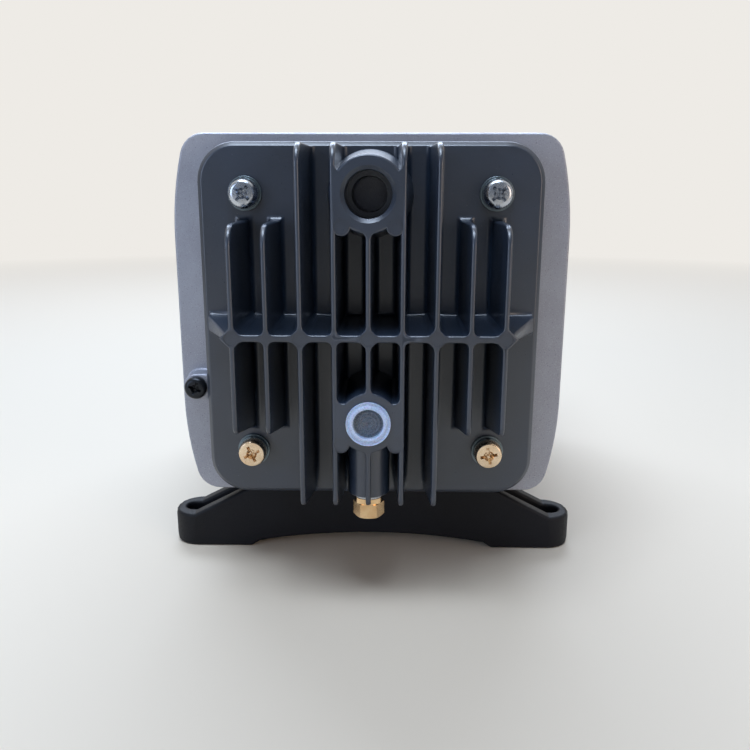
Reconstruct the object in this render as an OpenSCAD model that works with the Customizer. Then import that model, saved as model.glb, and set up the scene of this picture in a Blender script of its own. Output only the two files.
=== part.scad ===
// Linear free-piston compressor. The finned head is at the front (-Y), the rear cover at +Y.
// The feet stand on Z = 0 and the origin is the middle of the footprint.

/* [Layout] */
// Height of the cylinder axis above the floor
axis_z = 83.3; // [78:0.1:90]
// How far the front foot is behind the front of the housings; the rear foot mirrors it
foot_set = 12.35; // [10.5:0.05:14]
// Side to side distance between the two mounting holes of a foot
hole_pitch = 130; // [124:1:138]
// Radius of the mounting holes in the feet
foot_hole_r = 2.75; // [2.2:0.05:3.2]

/* [Head cover] */
// Width of the head plate
head_w = 106.2; // [100:0.1:110]
// Height of the head plate
head_h = 112.6; // [106:0.1:114]
// Thickness of the head plate
head_t = 10; // [9:0.5:13]
// Corner radius of the head plate
head_corner_r = 12; // [6:0.5:14]
// Chamfer round the front edge of the head plate
head_edge = 1.3; // [0.5:0.1:2.5]
// How far the fins stand out of the plate
fin_depth = 27; // [22:1:32]
// Distance between fins
fin_pitch = 9.7; // [9.2:0.1:10.2]
// Thickness of a fin at its front edge
fin_tip_t = 1.4; // [1:0.1:2.2]
// Thickness of a fin at the plate
fin_root_t = 3; // [2.4:0.1:4]
// How far the lower ends of the long fins slope inwards over their depth
long_fin_slope = 5.5; // [3:0.1:7]
// Height of the short fins at the plate
short_fin_h = 66.2; // [60:0.1:68]
// Height of the cross rib above the cylinder axis
rib_rise = 1.1; // [-1:0.1:3]
// Thickness of the cross rib at its front edge
rib_tip_t = 2.05; // [1.5:0.05:3]
// Thickness of the cross rib at the plate
rib_root_t = 5; // [3.5:0.1:6.5]

/* [Ports] */
// Depth of the upper port below the top edge of the head plate
upper_port_drop = 15.4; // [14:0.1:16.5]
// Height of the lower port above the bottom edge of the head plate
lower_port_rise = 32.6; // [31:0.1:33.5]
// Radius of the upper port's thread wall
upper_port_r = 6.58; // [5.7:0.01:6.6]
// Radius of the lower port's thread wall
lower_port_r = 5.72; // [5:0.01:5.8]
// Length of each port's thread
port_thread_len = 14; // [11:0.5:18]
// Outer radius of the upper port ring at its front
upper_ring_r = 10.5; // [9.5:0.1:11.2]
// Outer radius of the lower port ring at its front
lower_ring_r = 8.9; // [8:0.1:9.6]
// Flange radius of the port cap
cap_flange_r = 6.52; // [6.2:0.01:7]
// How far the port cap reaches into the port
cap_len = 9; // [7:0.5:12]

/* [Housings] */
// How far the housings stand out past the head plate on each side
body_margin = 10.7; // [9.5:0.1:13]
// Height of the housings
body_h = 119.1; // [118:0.1:122]
// Length of the front housing
front_len = 52; // [50:0.5:56]
// Length of the rear housing
rear_len = 78; // [77:0.5:82]
// Length of the rear cover
cover_len = 32; // [28:0.5:38]
// Wall thickness of the housings
wall = 3.5; // [3:0.1:4]
// Thickness of each gasket
gasket_t = 0.8; // [0.5:0.1:1.2]

/* [Compressor] */
// Bore radius of the cylinder liner
bore_r = 18; // [17:0.1:18.4]
// Wall of the cylinder liner
liner_wall = 3; // [2.5:0.1:3.5]
// Length of the piston
piston_len = 28; // [24:0.5:29]
// Travel of the piston towards the head from rest
stroke_front = 3; // [2:0.1:3]
// Travel of the piston towards the rear from rest
stroke_rear = 9; // [7:0.1:9]
// Radius of the piston rod
rod_r = 5; // [4:0.1:5.5]
// Thickness of the valve plate
valve_plate_t = 8; // [7:0.5:8]

/* [Motor] */
// Width of the armature and of the poles
pole_w = 44; // [40:0.5:46]
// Height of the armature
armature_h = 30; // [28:0.5:31]
// Air gap between armature and pole
air_gap = 0.8; // [0.5:0.1:1.2]
// Stack length of the stator
stator_len = 30; // [26:0.5:31]
// Wire thickness of the return spring
spring_wire = 3; // [2:0.1:3.4]
// Mean radius of the return spring
spring_r = 13; // [12.6:0.1:13.4]
// Number of turns of the return spring
spring_turns = 6; // [5:1:6]

/* [Feet] */
// Front to back depth of a foot
foot_depth = 18; // [16:0.5:20]
// Height of the lug at each end of a foot
lug_h = 12; // [11:0.5:14]
// Distance from the mounting hole to the end of the foot
lug_reach = 7; // [6:0.5:9]

/* [Hidden] */
$fn = 64;

// Colours of the materials
dark_cast = "#4b4e55";
light_cast = "#b4b2ae";
rubber_black = "#14161b";
zinc = "#c9c5b4";
steel = "#9a9c9f";
black_steel = "#25272a";
brass_gold = "#c79a58";
milky = "#dfe8ee";
copper = "#b5713c";
nylon = "#e6e0d0";
gasket_grey = "#5b5f5c";
core_grey = "#6d7074";
ptfe = "#2e2c2a";

// Overrun of every cut
cut = 1;
// Overlap that joins shapes of one casting
blend = 0.5;
// Clearance of a thread or a pressed seat
seat_gap = 0.05;
// Radial clearance of running fits
run_gap = 0.03;

// Lengths along Y, from the front of the port cap to the back of the rear cover
cap_flange_t = 1.1;
total_len = cap_flange_t + fin_depth + head_t + gasket_t + front_len + gasket_t + rear_len
    + gasket_t + cover_len;
y_fin = cap_flange_t - total_len / 2;
y_plate = y_fin + fin_depth;
y_head = y_plate + head_t;
y_front = y_head + gasket_t;
y_joint = y_front + front_len;
y_rear = y_joint + gasket_t;
y_web = y_rear + rear_len;
y_cover = y_web + gasket_t;
y_back = y_cover + cover_len;

// Housings' width at the height of the axis, and heights
body_w = head_w + 2 * body_margin;
side_x = body_w / 2;
body_top = axis_z + body_h / 2;
body_low = axis_z - body_h / 2;
head_top = axis_z + head_h / 2;
head_low = axis_z - head_h / 2;
rib_z = axis_z + rib_rise;
upper_z = head_top - upper_port_drop;
lower_z = head_low + lower_port_rise;

// Outline of the housings: flat sides, bowed ends of the sides, corner radii
body_flat = 27;
body_bow_r = 110;
body_top_r = 8;
body_low_r = 8;
// Steps in each arc of an outline
arc_steps = 6;
// Flanges at the joints, and how far the walls between them are set in
flange_t = 5;
waist = 1.4;

// Head screws: spacing, shank, head and washers
head_screw_dx = 76.6;
head_screw_dz = 82;
m5_r = 2.5;
m5_hole_r = 2.75;
m5_head_r = 4.5;
m5_head_h = 3.7;
flat_washer_r = 5.2;
flat_washer_t = 1;
spring_washer_r = 4.65;
spring_washer_t = 1.3;
spring_washer_split = 0.8;
head_screw_reach = 10;
// Turn of the cross recess of each head screw, as it was left after tightening
screw_turn = [40, 47, 65, 79];
cross_len_share = 0.6;
cross_w_share = 0.13;
cross_floor_share = 0.49;
// Side view of half a pan head, as shares of its radius and height
pan_profile_shares = [[0, 0], [1, 0], [1, 0.36], [0.95, 0.6], [0.82, 0.8], [0.55, 0.95], [0, 1]];
// Turn of the gap in the spring washers
spring_split_turn = 35;

// Fins and blocks of the head cover
fin_fillet = 1.6;
long_fin_slope_top = 0.3;
long_fin_top_r = 6.5;
long_fin_low_r = 2.5;
short_fin_slope_top = 0.4;
short_fin_slope_low = 5.8;
short_fin_top_r = 6.5;
short_fin_low_r = 3;
pad_r = 2.1;
pad_sink = 0.2;
rib_lozenge = 3.5;
upper_flare = 2.7;
lower_flare = 1;
upper_shelf = 6;
upper_shelf_slope = 3.2;
upper_pad_dx = 7.4;
upper_pad_dz = 8.7;
lower_shelf = 5.9;
lower_shelf_slope = 1;
lower_pad_dx = 8;
lower_pad_dz = 6.7;
block_lobe_r = 2.5;
port_chamfer = 1.1;
port_inner_r = 5.2;
lower_inner_r = 4.2;
chamber_depth = 6;
chamber_w = 52;
chamber_r = 6;
chamber_rib = 3.4;
chamber_over_port = 8;

// Drain boss, plug and washer under the lower port
drain_r = 6.3;
drain_set = 7.5;
drain_low = 8.9;
drain_hole_r = 2;
drain_thread_r = 3;
drain_thread_len = 10;
plug_af = 8.3;
plug_hex_h = 4.1;
plug_collar_r = 4.2;
plug_collar_t = 2.2;
drain_washer_t = 1.3;
drain_washer_r = 4.35;
// Room for a spanner round the plug
plug_room_r = 6;

// Port cap
cap_wall = 1.25;
cap_recess = 1.6;
cap_floor = 1.2;
cap_clear = 0.06;

// Front housing
front_wall = 12;
barrel_wall = 4;
barrel_spare = 1.2;
// Step of the barrel's flange, along and across
barrel_ledge = 2;
barrel_flange_w = 3;
liner_flange_w = 3;
liner_flange_t = 3;
pillar_side = 15.8;
pillar_over = 15.55;
pillar_dx = side_x - pillar_side;
pillar_dz = body_h / 2 - pillar_over;
pillar_in = 6.5;
bolt_thread_len = 24;
// The earth screw stands beside the head plate
ground_set = 4.4;
ground_x = -head_w / 2 - ground_set;
ground_drop = 21.2;
ground_boss_r = 4.4;
ground_boss_len = 7;
m4_r = 2;
m4_head_r = 3.7;
m4_head_h = 2.6;
m4_len = 14;
ground_screw_turn = 22;
ground_gap = 0.3;
side_rib_count = 5;
side_rib_span = 36;
side_rib_t = 3;
foot_boss_r = 6;
foot_boss_h = 14;

// Valve plate, discs, springs and retainers
valve_plate_r = 31;
valve_offset = 10;
valve_seat_r = 4;
valve_disc_r = 6.5;
valve_disc_t = 1;
valve_pocket_r = 7.2;
valve_pocket = 5;
retainer_t = 0.8;
retainer_hole_r = 3.4;
valve_wire = 0.4;
valve_spring_r = 4.9;
valve_turns = 3;
valve_close = 0.85;
// Steps of a spring's sweep
rings_per_turn = 8;
wire_sides = 6;
spring_close = 0.5;

// Piston, rings, rod and armature
piston_gap = 0.8;
crown_t = 5;
skirt_wall = 4;
socket_wall = 3;
socket_len = 10;
ring_w = 2.8;
ring_t = 2.1;
ring_gap = 0.1;
ring_split = 0.5;
guide_w = 8;
guide_t = 1.5;
guide_set = 13;
ring_set = 1.2;
piston_screw_r = 2.5;
piston_screw_head_r = 4.8;
piston_screw_len = 16;
armature_len = 22;
armature_gap = 1.9;
collar_r = 8;
collar_t = 3;
seat_t = 2;
nut_af = 16;
nut_t = 5;
bush_wall = 3;
bush_boss_r = 15;
bush_boss_len = 18;
rod_back = 2;
web_t = 5;

// Stator, bobbins and coils
pole_lap = 2;
yoke_t = 14;
core_side = 7.8;
core_over = 7.55;
core_half_w = side_x - core_side;
core_half_h = body_h / 2 - core_over;
core_corner_r = 10;
bobbin_wall = 1.2;
bobbin_gap = 0.2;
bobbin_over = 1.1;
coil_thick = 16;
coil_side_gap = 2.6;
coil_corner_r = 8;
spacer_r = 5.5;
cutout_w = 12;
cutout_d = 12;
cutout_h = 5;
cutout_r = 2;
cutout_set = 4;

// Rear cover, bolts, gland and electrical pieces
cover_edge = 5;
bolt_pocket_r = 6.6;
bolt_pocket = 5.4;
slot_count = 7;
slot_w = 3;
slot_h = 34;
slot_pitch = 8;
gland_drop = 18;
gland_nut_af = 15;
gland_nut_t = 3;
gland_set = 16;
gland_bore_r = 3.3;
gland_neck_r = 5.5;
gland_flange_r = 8;
gland_flange_t = 2;
gland_tip_r = 4.7;
gland_out = 6;
gland_gap = 0.1;
block_w = 36;
block_h = 14;
block_rise = 3;
block_fence = 1.6;
block_t = 12;
block_side = 35.8;
block_x = side_x - block_side;
block_height = 32.55;
term_pitch = 11;
fence_x = 16.5;
term_screw_r = 1.5;
term_head_r = 2.8;
term_head_h = 1.8;
term_len = 6;
slot_share = 0.14;
rect_w = 14;
rect_r = 1.5;
rect_t = 8;
rect_side = 36.8;
rect_x = rect_side - side_x;
rect_height = 36.55;
web_slot_w = 8;
web_slot_h = 22;
web_slot_side = 31.8;
web_slot_x = side_x - web_slot_side;
plate_w = 56;
plate_d = 28;
plate_t = 0.5;
plate_corner_r = 2;

// Feet
lug_edge_r = 1.6;
arm_top_x = 41;
arm_start = 63.6;
arch_pad = 43;
arch_step = 2;
arch_slant = 2.7;
arch_rise = 5.5;
channel_w = 6.6;
channel_floor = 5.5;
channel_depth = 5.8;
foot_screw_x = 25;
sleeve_r = 4;
foot_counter_r = 6.6;
foot_counter_z = 12;
foot_washer_r = 6;
arch_steps = 12;
channel_end = 44;
foot_low_r = 2;
foot_washer_t = 1.2;
foot_screw_reach = 12;

// Places worked out from the sizes above
y_valve = y_front + valve_plate_t;
y_wall = y_front + front_wall;
barrel_flange_r = valve_plate_r + barrel_flange_w;
piston_y = y_valve + piston_gap + stroke_front;
y_barrel = piston_y + piston_len + stroke_rear + barrel_spare;
rod_y = piston_y + crown_t;
armature_y = y_barrel + armature_gap + stroke_front;
armature_end = armature_y + armature_len;
stator_y = armature_end - pole_lap;
stator_end = stator_y + stator_len;
seat_end = armature_end + seat_t;
boss_y = y_web - bush_boss_len;
rod_end = y_web - rod_back;
pole_z = armature_h / 2 + air_gap;
window_z = core_half_h - yoke_t;
window_x = core_half_w - yoke_t;
cavity_inset = wall + waist;
coil_in = pole_w / 2 + bobbin_gap + bobbin_wall;
coil_w = window_x - coil_in - coil_side_gap;
ground_z = axis_z - ground_drop;
drain_z = head_low + drain_low;
drain_y = y_fin + drain_set;
m5_stack = flat_washer_t + spring_washer_t;
arm_rise_share = (body_low - lug_h) / (arm_start - arm_top_x);
valve_gap = valve_pocket - valve_disc_t - retainer_t;
piston_r = bore_r - 2 * run_gap;
piston_sink = piston_screw_head_r - piston_screw_r;
coil_in_y = stator_len / 2 + bobbin_gap + bobbin_wall;
bobbin_low = pole_z + bobbin_gap;
bobbin_top = window_z - bobbin_gap;
block_z = body_low + block_height;
rect_z = body_low + rect_height;
gland_z = axis_z - gland_drop;
gland_y = y_cover + gland_set;
// Fixing screws of the terminal block and of the rectifier, as x, z and the height they clamp
fixings = [[block_x - term_pitch / 2, block_z, block_t], [block_x + term_pitch / 2, block_z, block_t],
    [rect_x, rect_z, rect_t]];
foot_y = -y_front - foot_set;
foot_end = hole_pitch / 2 + lug_reach;

// Points of an arc from angle a0 to a1
function arc(cx, cy, r, a0, a1) =
    [for (i = [0:arc_steps]) let (a = a0 + (a1 - a0) * i / arc_steps) [cx + r * cos(a), cy + r * sin(a)]];

// Points that round one corner of an outline
function corner(p0, p1, p2, r) = r <= 0 ? [p1] :
    let (u = (p0 - p1) / norm(p0 - p1), w = (p2 - p1) / norm(p2 - p1),
        half = acos(u * w) / 2, c = p1 + (u + w) / norm(u + w) * r / sin(half),
        a = p1 + u * r / tan(half) - c, b = p1 + w * r / tan(half) - c,
        a0 = atan2(a.y, a.x), turn = atan2(b.y, b.x) - a0,
        sweep = turn > 180 ? turn - 360 : turn < -180 ? turn + 360 : turn)
    [for (i = [0:arc_steps]) c + r * [cos(a0 + sweep * i / arc_steps), sin(a0 + sweep * i / arc_steps)]];

// An outline with a radius at each of its corners
function rounded(points, radii) = let (n = len(points))
    [for (i = [0:n - 1]) each corner(points[(i + n - 1) % n], points[i], points[(i + 1) % n], radii[i])];

// A rectangle with four equal corners, about a centre
function round_box(w, h, r, cx = 0, cy = 0) = rounded(
    [[cx - w / 2, cy - h / 2], [cx + w / 2, cy - h / 2], [cx + w / 2, cy + h / 2], [cx - w / 2, cy + h / 2]],
    [r, r, r, r]);

// Right half of the housing outline, from the bottom corner to the top corner, set in by t
function body_half(t) =
    let (bow = body_bow_r - t, cx = body_w / 2 - body_bow_r,
        rt = body_top_r - t, zt = body_top - body_top_r, up = axis_z + body_flat,
        at = asin((zt - up) / (body_bow_r - body_top_r)),
        rl = body_low_r - t, zl = body_low + body_low_r, dn = axis_z - body_flat,
        al = asin((dn - zl) / (body_bow_r - body_low_r)))
    concat(
        arc(cx + (body_bow_r - body_low_r) * cos(al), zl, rl, -90, -al),
        arc(cx, dn, bow, -al, 0),
        arc(cx, up, bow, 0, at),
        arc(cx + (body_bow_r - body_top_r) * cos(at), zt, rt, at, 90));
function body_outline(t) = let (half = body_half(t), n = len(half))
    concat(half, [for (i = [n - 1:-1:0]) [-half[i].x, half[i].y]]);

// Extrudes an X-Z outline along Y, and a Y-Z outline along X
module along_y(y0, length)
    translate([0, y0 + length, 0]) rotate([90, 0, 0]) linear_extrude(length) children();
module along_x(x0, length) translate([x0, 0, 0]) rotate([90, 0, 90]) linear_extrude(length) children();

// A cylinder or cone along +Y from y0 at (x, z)
module rod_along_y(x, z, y0, length, r, r_end = undef)
    translate([x, y0, z]) rotate([-90, 0, 0]) cylinder(h = length, r1 = r, r2 = is_undef(r_end) ? r : r_end);

// A box from its lowest to its highest corner
module block(low, high) translate(low) cube(high - low);

// Repeats at the four points of a rectangle about (x, z) = (0, axis_z)
module four(dx, dz) for (sx = [-1, 1], sz = [-1, 1]) translate([sx * dx, 0, axis_z + sz * dz]) children();

// The square corners of a housing, where the cover bolts pass
module pillars(y0, length) intersection() {
    along_y(y0, length) polygon(body_outline(waist + wall / 2));
    for (mx = [0, 1], mz = [0, 1]) mirror([mx, 0, 0]) translate([0, 0, axis_z]) mirror([0, 0, mz])
        block([pillar_dx - pillar_in, y0, pillar_dz - pillar_in],
            [body_w / 2, y0 + length, body_h / 2]);
}

// Outside of a housing: full flanges, walls set in between them, ribs along the sides and foot seats
module casing(y0, length, seat_y) {
    along_y(y0, flange_t) polygon(body_outline(0));
    along_y(y0 + blend, length - 2 * blend) polygon(body_outline(waist));
    along_y(y0 + length - flange_t, flange_t) polygon(body_outline(0));
    intersection() {
        along_y(y0, length) polygon(body_outline(0));
        union() {
            for (k = [-1:2 / (side_rib_count - 1):1])
                block([-body_w, y0, axis_z + k * side_rib_span - side_rib_t / 2],
                    [body_w, y0 + length, axis_z + k * side_rib_span + side_rib_t / 2]);
            block([-arm_top_x, seat_y - foot_depth / 2, body_low],
                [arm_top_x, seat_y + foot_depth / 2, body_low + wall]);
        }
    }
}

// Tapped bosses for the two foot screws of one foot, and their holes
module foot_bosses(y) for (s = [-1, 1]) translate([s * foot_screw_x, y, body_low + waist])
    cylinder(h = foot_boss_h, r = foot_boss_r);
module foot_taps(y) for (s = [-1, 1]) translate([s * foot_screw_x, y, body_low - cut])
    cylinder(h = foot_boss_h, r = m5_r + seat_gap);

// A pan head screw along +Y, with the underside of its head at y = 0
module pan_screw(shank_r, shank_len, head_r, head_h, turn = 0) difference() {
    union() {
        rotate([90, 0, 0]) rotate_extrude()
            polygon([for (p = pan_profile_shares) [p.x * head_r, p.y * head_h]]);
        rotate([-90, 0, 0]) cylinder(h = shank_len, r = shank_r);
    }
    for (a = [0, 90]) rotate([0, turn + a, 0])
        block([-cross_len_share * head_r, -head_h - cut, -cross_w_share * head_r],
            [cross_len_share * head_r, -head_h * cross_floor_share, cross_w_share * head_r]);
}

// A washer along +Y
module washer(r, hole, t) difference() {
    rotate([-90, 0, 0]) cylinder(h = t, r = r);
    translate([0, -cut, 0]) rotate([-90, 0, 0]) cylinder(h = t + 2 * cut, r = hole);
}

// Centre line of a coil spring along +Y: close end turns, open middle turns, straight wire ends
function spring_rise(t, turns, length, close) = t <= 1 ? t * close :
    t >= turns - 1 ? length - (turns - t) * close :
    close + (t - 1) * (length - 2 * close) / (turns - 2);
function spring_path(r, wire, turns, length, close) =
    let (n = turns * rings_per_turn,
        mid = [for (i = [0:n]) [r * cos(360 * i / rings_per_turn),
            wire / 2 + spring_rise(i / rings_per_turn, turns, length - wire, close),
            r * sin(360 * i / rings_per_turn)]])
    concat([mid[0] - [0, 0, wire]], mid, [mid[n] + [0, 0, wire]]);
function spring_out(i, last) =
    let (a = 360 * (min(max(i, 1), last - 1) - 1) / rings_per_turn) [cos(a), 0, sin(a)];
// Least clear distance between stretches of wire more than half a turn apart
function least_gap(path, wire) = min([for (i = [0:len(path) - 1])
    for (j = [i + rings_per_turn / 2 + 1:1:len(path) - 1]) norm(path[i] - path[j])]) - wire;

module spring(r, wire, turns, length, close) {
    path = spring_path(r, wire, turns, length, close);
    last = len(path) - 1;
    echo("least gap of a spring", least_gap(path, wire));
    points = [for (i = [0:last])
        let (along = path[min(i + 1, last)] - path[max(i - 1, 0)], t = along / norm(along),
            o = spring_out(i, last), n = (o - (o * t) * t) / norm(o - (o * t) * t), b = cross(t, n))
        for (k = [0:wire_sides - 1])
            path[i] + wire / 2 * (cos(360 * k / wire_sides) * n + sin(360 * k / wire_sides) * b)];
    skin = [for (i = [0:last - 1]) for (k = [0:wire_sides - 1])
        let (a = i * wire_sides + k, b = i * wire_sides + (k + 1) % wire_sides)
        each [[a, b, a + wire_sides], [b, b + wire_sides, a + wire_sides]]];
    polyhedron(points, concat(skin,
        [[for (k = [wire_sides - 1:-1:0]) k]],
        [[for (k = [0:wire_sides - 1]) last * wire_sides + k]]));
}

// One fin as seen from above: rounded front edge, draft, and fillets at the plate
function fin_plan(x) =
    let (tip = fin_tip_t / 2, root = fin_root_t / 2)
    concat(
        [[x - root - fin_fillet, y_plate + blend]],
        [for (p = arc(x - root - fin_fillet, y_plate - fin_fillet, fin_fillet, 90, 0)) p],
        [for (p = arc(x, y_fin + tip, tip, 180, 360)) p],
        [for (p = arc(x + root + fin_fillet, y_plate - fin_fillet, fin_fillet, 180, 90)) p],
        [[x + root + fin_fillet, y_plate + blend]]);

// Fins at the given places, cut to a side view from z0 to z1 at the plate
module fins(places, z0, z1, slope_low, slope_top, low_r, top_r) intersection() {
    translate([0, 0, z0]) linear_extrude(z1 - z0)
        for (x = places) polygon(fin_plan(x));
    along_x(-head_w / 2, head_w) polygon(rounded(
        [[y_plate + blend, z0], [y_plate, z0], [y_fin, z0 + slope_low], [y_fin, z1 - slope_top],
            [y_plate, z1], [y_plate + blend, z1]],
        [0, 0, low_r, top_r, 0, 0]));
}

// The cross rib with its gussets to the plate edges and the lozenges behind its pads
module cross_rib() {
    intersection() {
        along_x(-head_w / 2, head_w) polygon([
            [y_plate + blend, rib_z - rib_root_t / 2], [y_fin, rib_z - rib_tip_t / 2],
            [y_fin, rib_z + rib_tip_t / 2], [y_plate + blend, rib_z + rib_root_t / 2]]);
        translate([0, 0, rib_z - rib_root_t]) linear_extrude(2 * rib_root_t) polygon([
            [-head_w / 2 + head_edge, y_plate + blend], [-head_w / 2 + head_edge, y_plate],
            [-4 * fin_pitch - fin_tip_t, y_fin], [4 * fin_pitch + fin_tip_t, y_fin],
            [head_w / 2 - head_edge, y_plate], [head_w / 2 - head_edge, y_plate + blend]]);
    }
    for (k = [-4:2:4]) along_y(y_fin, fin_depth + blend)
        polygon([for (q = [0:3]) [k * fin_pitch, rib_z] + rib_lozenge * [cos(90 * q), sin(90 * q)]]);
}

// A port block: flared ring, web between its two fins and two lobes with ejector pads
module port_block(z, ring_r, flare, shelf, shelf_slope, pad_dx, pad_dz) {
    half_w = fin_pitch + fin_tip_t / 2;
    rod_along_y(0, z, y_fin, fin_depth + blend, ring_r, ring_r + flare);
    along_x(-half_w, 2 * half_w) polygon([[y_fin, z - pad_dz], [y_fin, z + shelf],
        [y_plate + blend, z + shelf + shelf_slope], [y_plate + blend, z - pad_dz]]);
    for (s = [-1, 1]) rod_along_y(s * pad_dx, z - pad_dz, y_fin, fin_depth + blend, block_lobe_r);
}

module pad_sinks() {
    for (k = [-4:2:4]) rod_along_y(k * fin_pitch, rib_z, y_fin - cut, cut + pad_sink, pad_r);
    for (s = [-1, 1]) {
        rod_along_y(s * upper_pad_dx, upper_z - upper_pad_dz, y_fin - cut, cut + pad_sink, pad_r);
        rod_along_y(s * lower_pad_dx, lower_z - lower_pad_dz, y_fin - cut, cut + pad_sink, pad_r);
    }
}

// Outlines of the two chambers behind the head plate
function upper_chamber() =
    let (low = axis_z + chamber_rib / 2, top = upper_z + chamber_over_port)
    round_box(chamber_w, top - low, chamber_r, 0, (low + top) / 2);
function lower_chamber() =
    let (low = lower_z - chamber_over_port, top = axis_z - chamber_rib / 2)
    round_box(chamber_w, top - low, chamber_r, 0, (low + top) / 2);

module head_cover() color(dark_cast) difference() {
    union() {
        along_y(y_plate + head_edge, head_t - head_edge)
            polygon(round_box(head_w, head_h, head_corner_r, 0, axis_z));
        hull() {
            along_y(y_plate + head_edge, blend)
                polygon(round_box(head_w, head_h, head_corner_r, 0, axis_z));
            along_y(y_plate, blend) polygon(round_box(head_w - 2 * head_edge, head_h - 2 * head_edge,
                head_corner_r - head_edge, 0, axis_z));
        }
        fins([-2 * fin_pitch, -fin_pitch, fin_pitch, 2 * fin_pitch], head_low + head_edge,
            head_top - head_edge, long_fin_slope, long_fin_slope_top, long_fin_low_r, long_fin_top_r);
        fins([0], head_low + head_edge, upper_z, long_fin_slope, 0, long_fin_low_r, 0);
        fins([-4 * fin_pitch, -3 * fin_pitch, 3 * fin_pitch, 4 * fin_pitch],
            axis_z - short_fin_h / 2, axis_z + short_fin_h / 2,
            short_fin_slope_low, short_fin_slope_top, short_fin_low_r, short_fin_top_r);
        cross_rib();
        port_block(upper_z, upper_ring_r, upper_flare, upper_shelf, upper_shelf_slope,
            upper_pad_dx, upper_pad_dz);
        port_block(lower_z, lower_ring_r, lower_flare, lower_shelf, lower_shelf_slope,
            lower_pad_dx, lower_pad_dz);
        translate([0, drain_y, drain_z]) cylinder(h = lower_z - drain_z, r = drain_r);
        block([-drain_r, drain_y, drain_z], [drain_r, y_plate + blend, lower_z]);
    }
    pad_sinks();
    translate([0, drain_y, head_low - cut]) cylinder(h = drain_low + cut, r = plug_room_r);
    // Ports, from their mouths into the chambers
    rod_along_y(0, upper_z, y_fin - cut, cut + port_chamfer, upper_port_r + port_chamfer + cut,
        upper_port_r);
    rod_along_y(0, upper_z, y_fin - cut, cut + port_thread_len, upper_port_r);
    rod_along_y(0, upper_z, y_fin, fin_depth + head_t - chamber_depth + cut, port_inner_r);
    rod_along_y(0, lower_z, y_fin - cut, cut + port_thread_len, lower_port_r);
    rod_along_y(0, lower_z, y_fin, fin_depth + head_t - chamber_depth + cut, lower_inner_r);
    along_y(y_head - chamber_depth, chamber_depth + cut) polygon(upper_chamber());
    along_y(y_head - chamber_depth, chamber_depth + cut) polygon(lower_chamber());
    // Drain
    translate([0, drain_y, drain_z - cut])
        cylinder(h = cut + drain_thread_len + seat_gap, r = drain_thread_r + seat_gap);
    translate([0, drain_y, drain_z]) cylinder(h = lower_z - drain_z, r = drain_hole_r);
    // Head screws
    four(head_screw_dx / 2, head_screw_dz / 2)
        rod_along_y(0, 0, y_plate - cut, head_t + 2 * cut, m5_hole_r);
}

module head_screws() color(zinc)
    for (i = [0:3]) translate([(i % 2 - 0.5) * head_screw_dx, y_plate - m5_stack,
            axis_z + (0.5 - floor(i / 2)) * head_screw_dz])
        pan_screw(m5_r, m5_stack + head_t + gasket_t + head_screw_reach, m5_head_r, m5_head_h,
            screw_turn[i]);

module head_spring_washers() color(zinc)
    four(head_screw_dx / 2, head_screw_dz / 2) translate([0, y_plate - m5_stack, 0]) difference() {
        washer(spring_washer_r, m5_hole_r, spring_washer_t);
        rotate([0, 0, spring_split_turn]) translate([-spring_washer_split / 2, -spring_washer_r, 0])
            cube([spring_washer_split, 2 * spring_washer_r, 2 * spring_washer_r]);
    }

module head_flat_washers() color(zinc)
    four(head_screw_dx / 2, head_screw_dz / 2) translate([0, y_plate - flat_washer_t, 0])
        washer(flat_washer_r, m5_hole_r, flat_washer_t);

module head_gasket() color(gasket_grey) difference() {
    along_y(y_head, gasket_t) polygon(round_box(head_w, head_h, head_corner_r, 0, axis_z));
    along_y(y_head - cut, gasket_t + 2 * cut) polygon(upper_chamber());
    along_y(y_head - cut, gasket_t + 2 * cut) polygon(lower_chamber());
    four(head_screw_dx / 2, head_screw_dz / 2)
        rod_along_y(0, 0, y_head - cut, gasket_t + 2 * cut, m5_hole_r);
}

module port_cap() color(milky, 0.7) difference() {
    union() {
        rod_along_y(0, lower_z, y_fin - cap_flange_t, cap_flange_t, cap_flange_r);
        rod_along_y(0, lower_z, y_fin - blend, blend + cap_len, lower_port_r - cap_clear);
    }
    rod_along_y(0, lower_z, y_fin - cap_flange_t - cut, cut + cap_recess, lower_port_r - cap_clear - cap_wall);
    rod_along_y(0, lower_z, y_fin - cap_flange_t + cap_recess + cap_floor, cap_flange_t + cap_len,
        lower_port_r - cap_clear - cap_wall);
}

module drain_plug() color(brass_gold) translate([0, drain_y, drain_z - drain_washer_t]) {
    translate([0, 0, -plug_collar_t]) cylinder(h = plug_collar_t, r = plug_collar_r);
    translate([0, 0, -plug_collar_t - plug_hex_h])
        cylinder(h = plug_hex_h, r = plug_af / 2 / cos(30), $fn = 6);
    cylinder(h = drain_washer_t + drain_thread_len, r = drain_thread_r);
}

module drain_washer() color(zinc) translate([0, drain_y, drain_z - drain_washer_t]) difference() {
    cylinder(h = drain_washer_t, r = drain_washer_r);
    translate([0, 0, -cut]) cylinder(h = drain_washer_t + 2 * cut, r = drain_thread_r + seat_gap);
}

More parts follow.
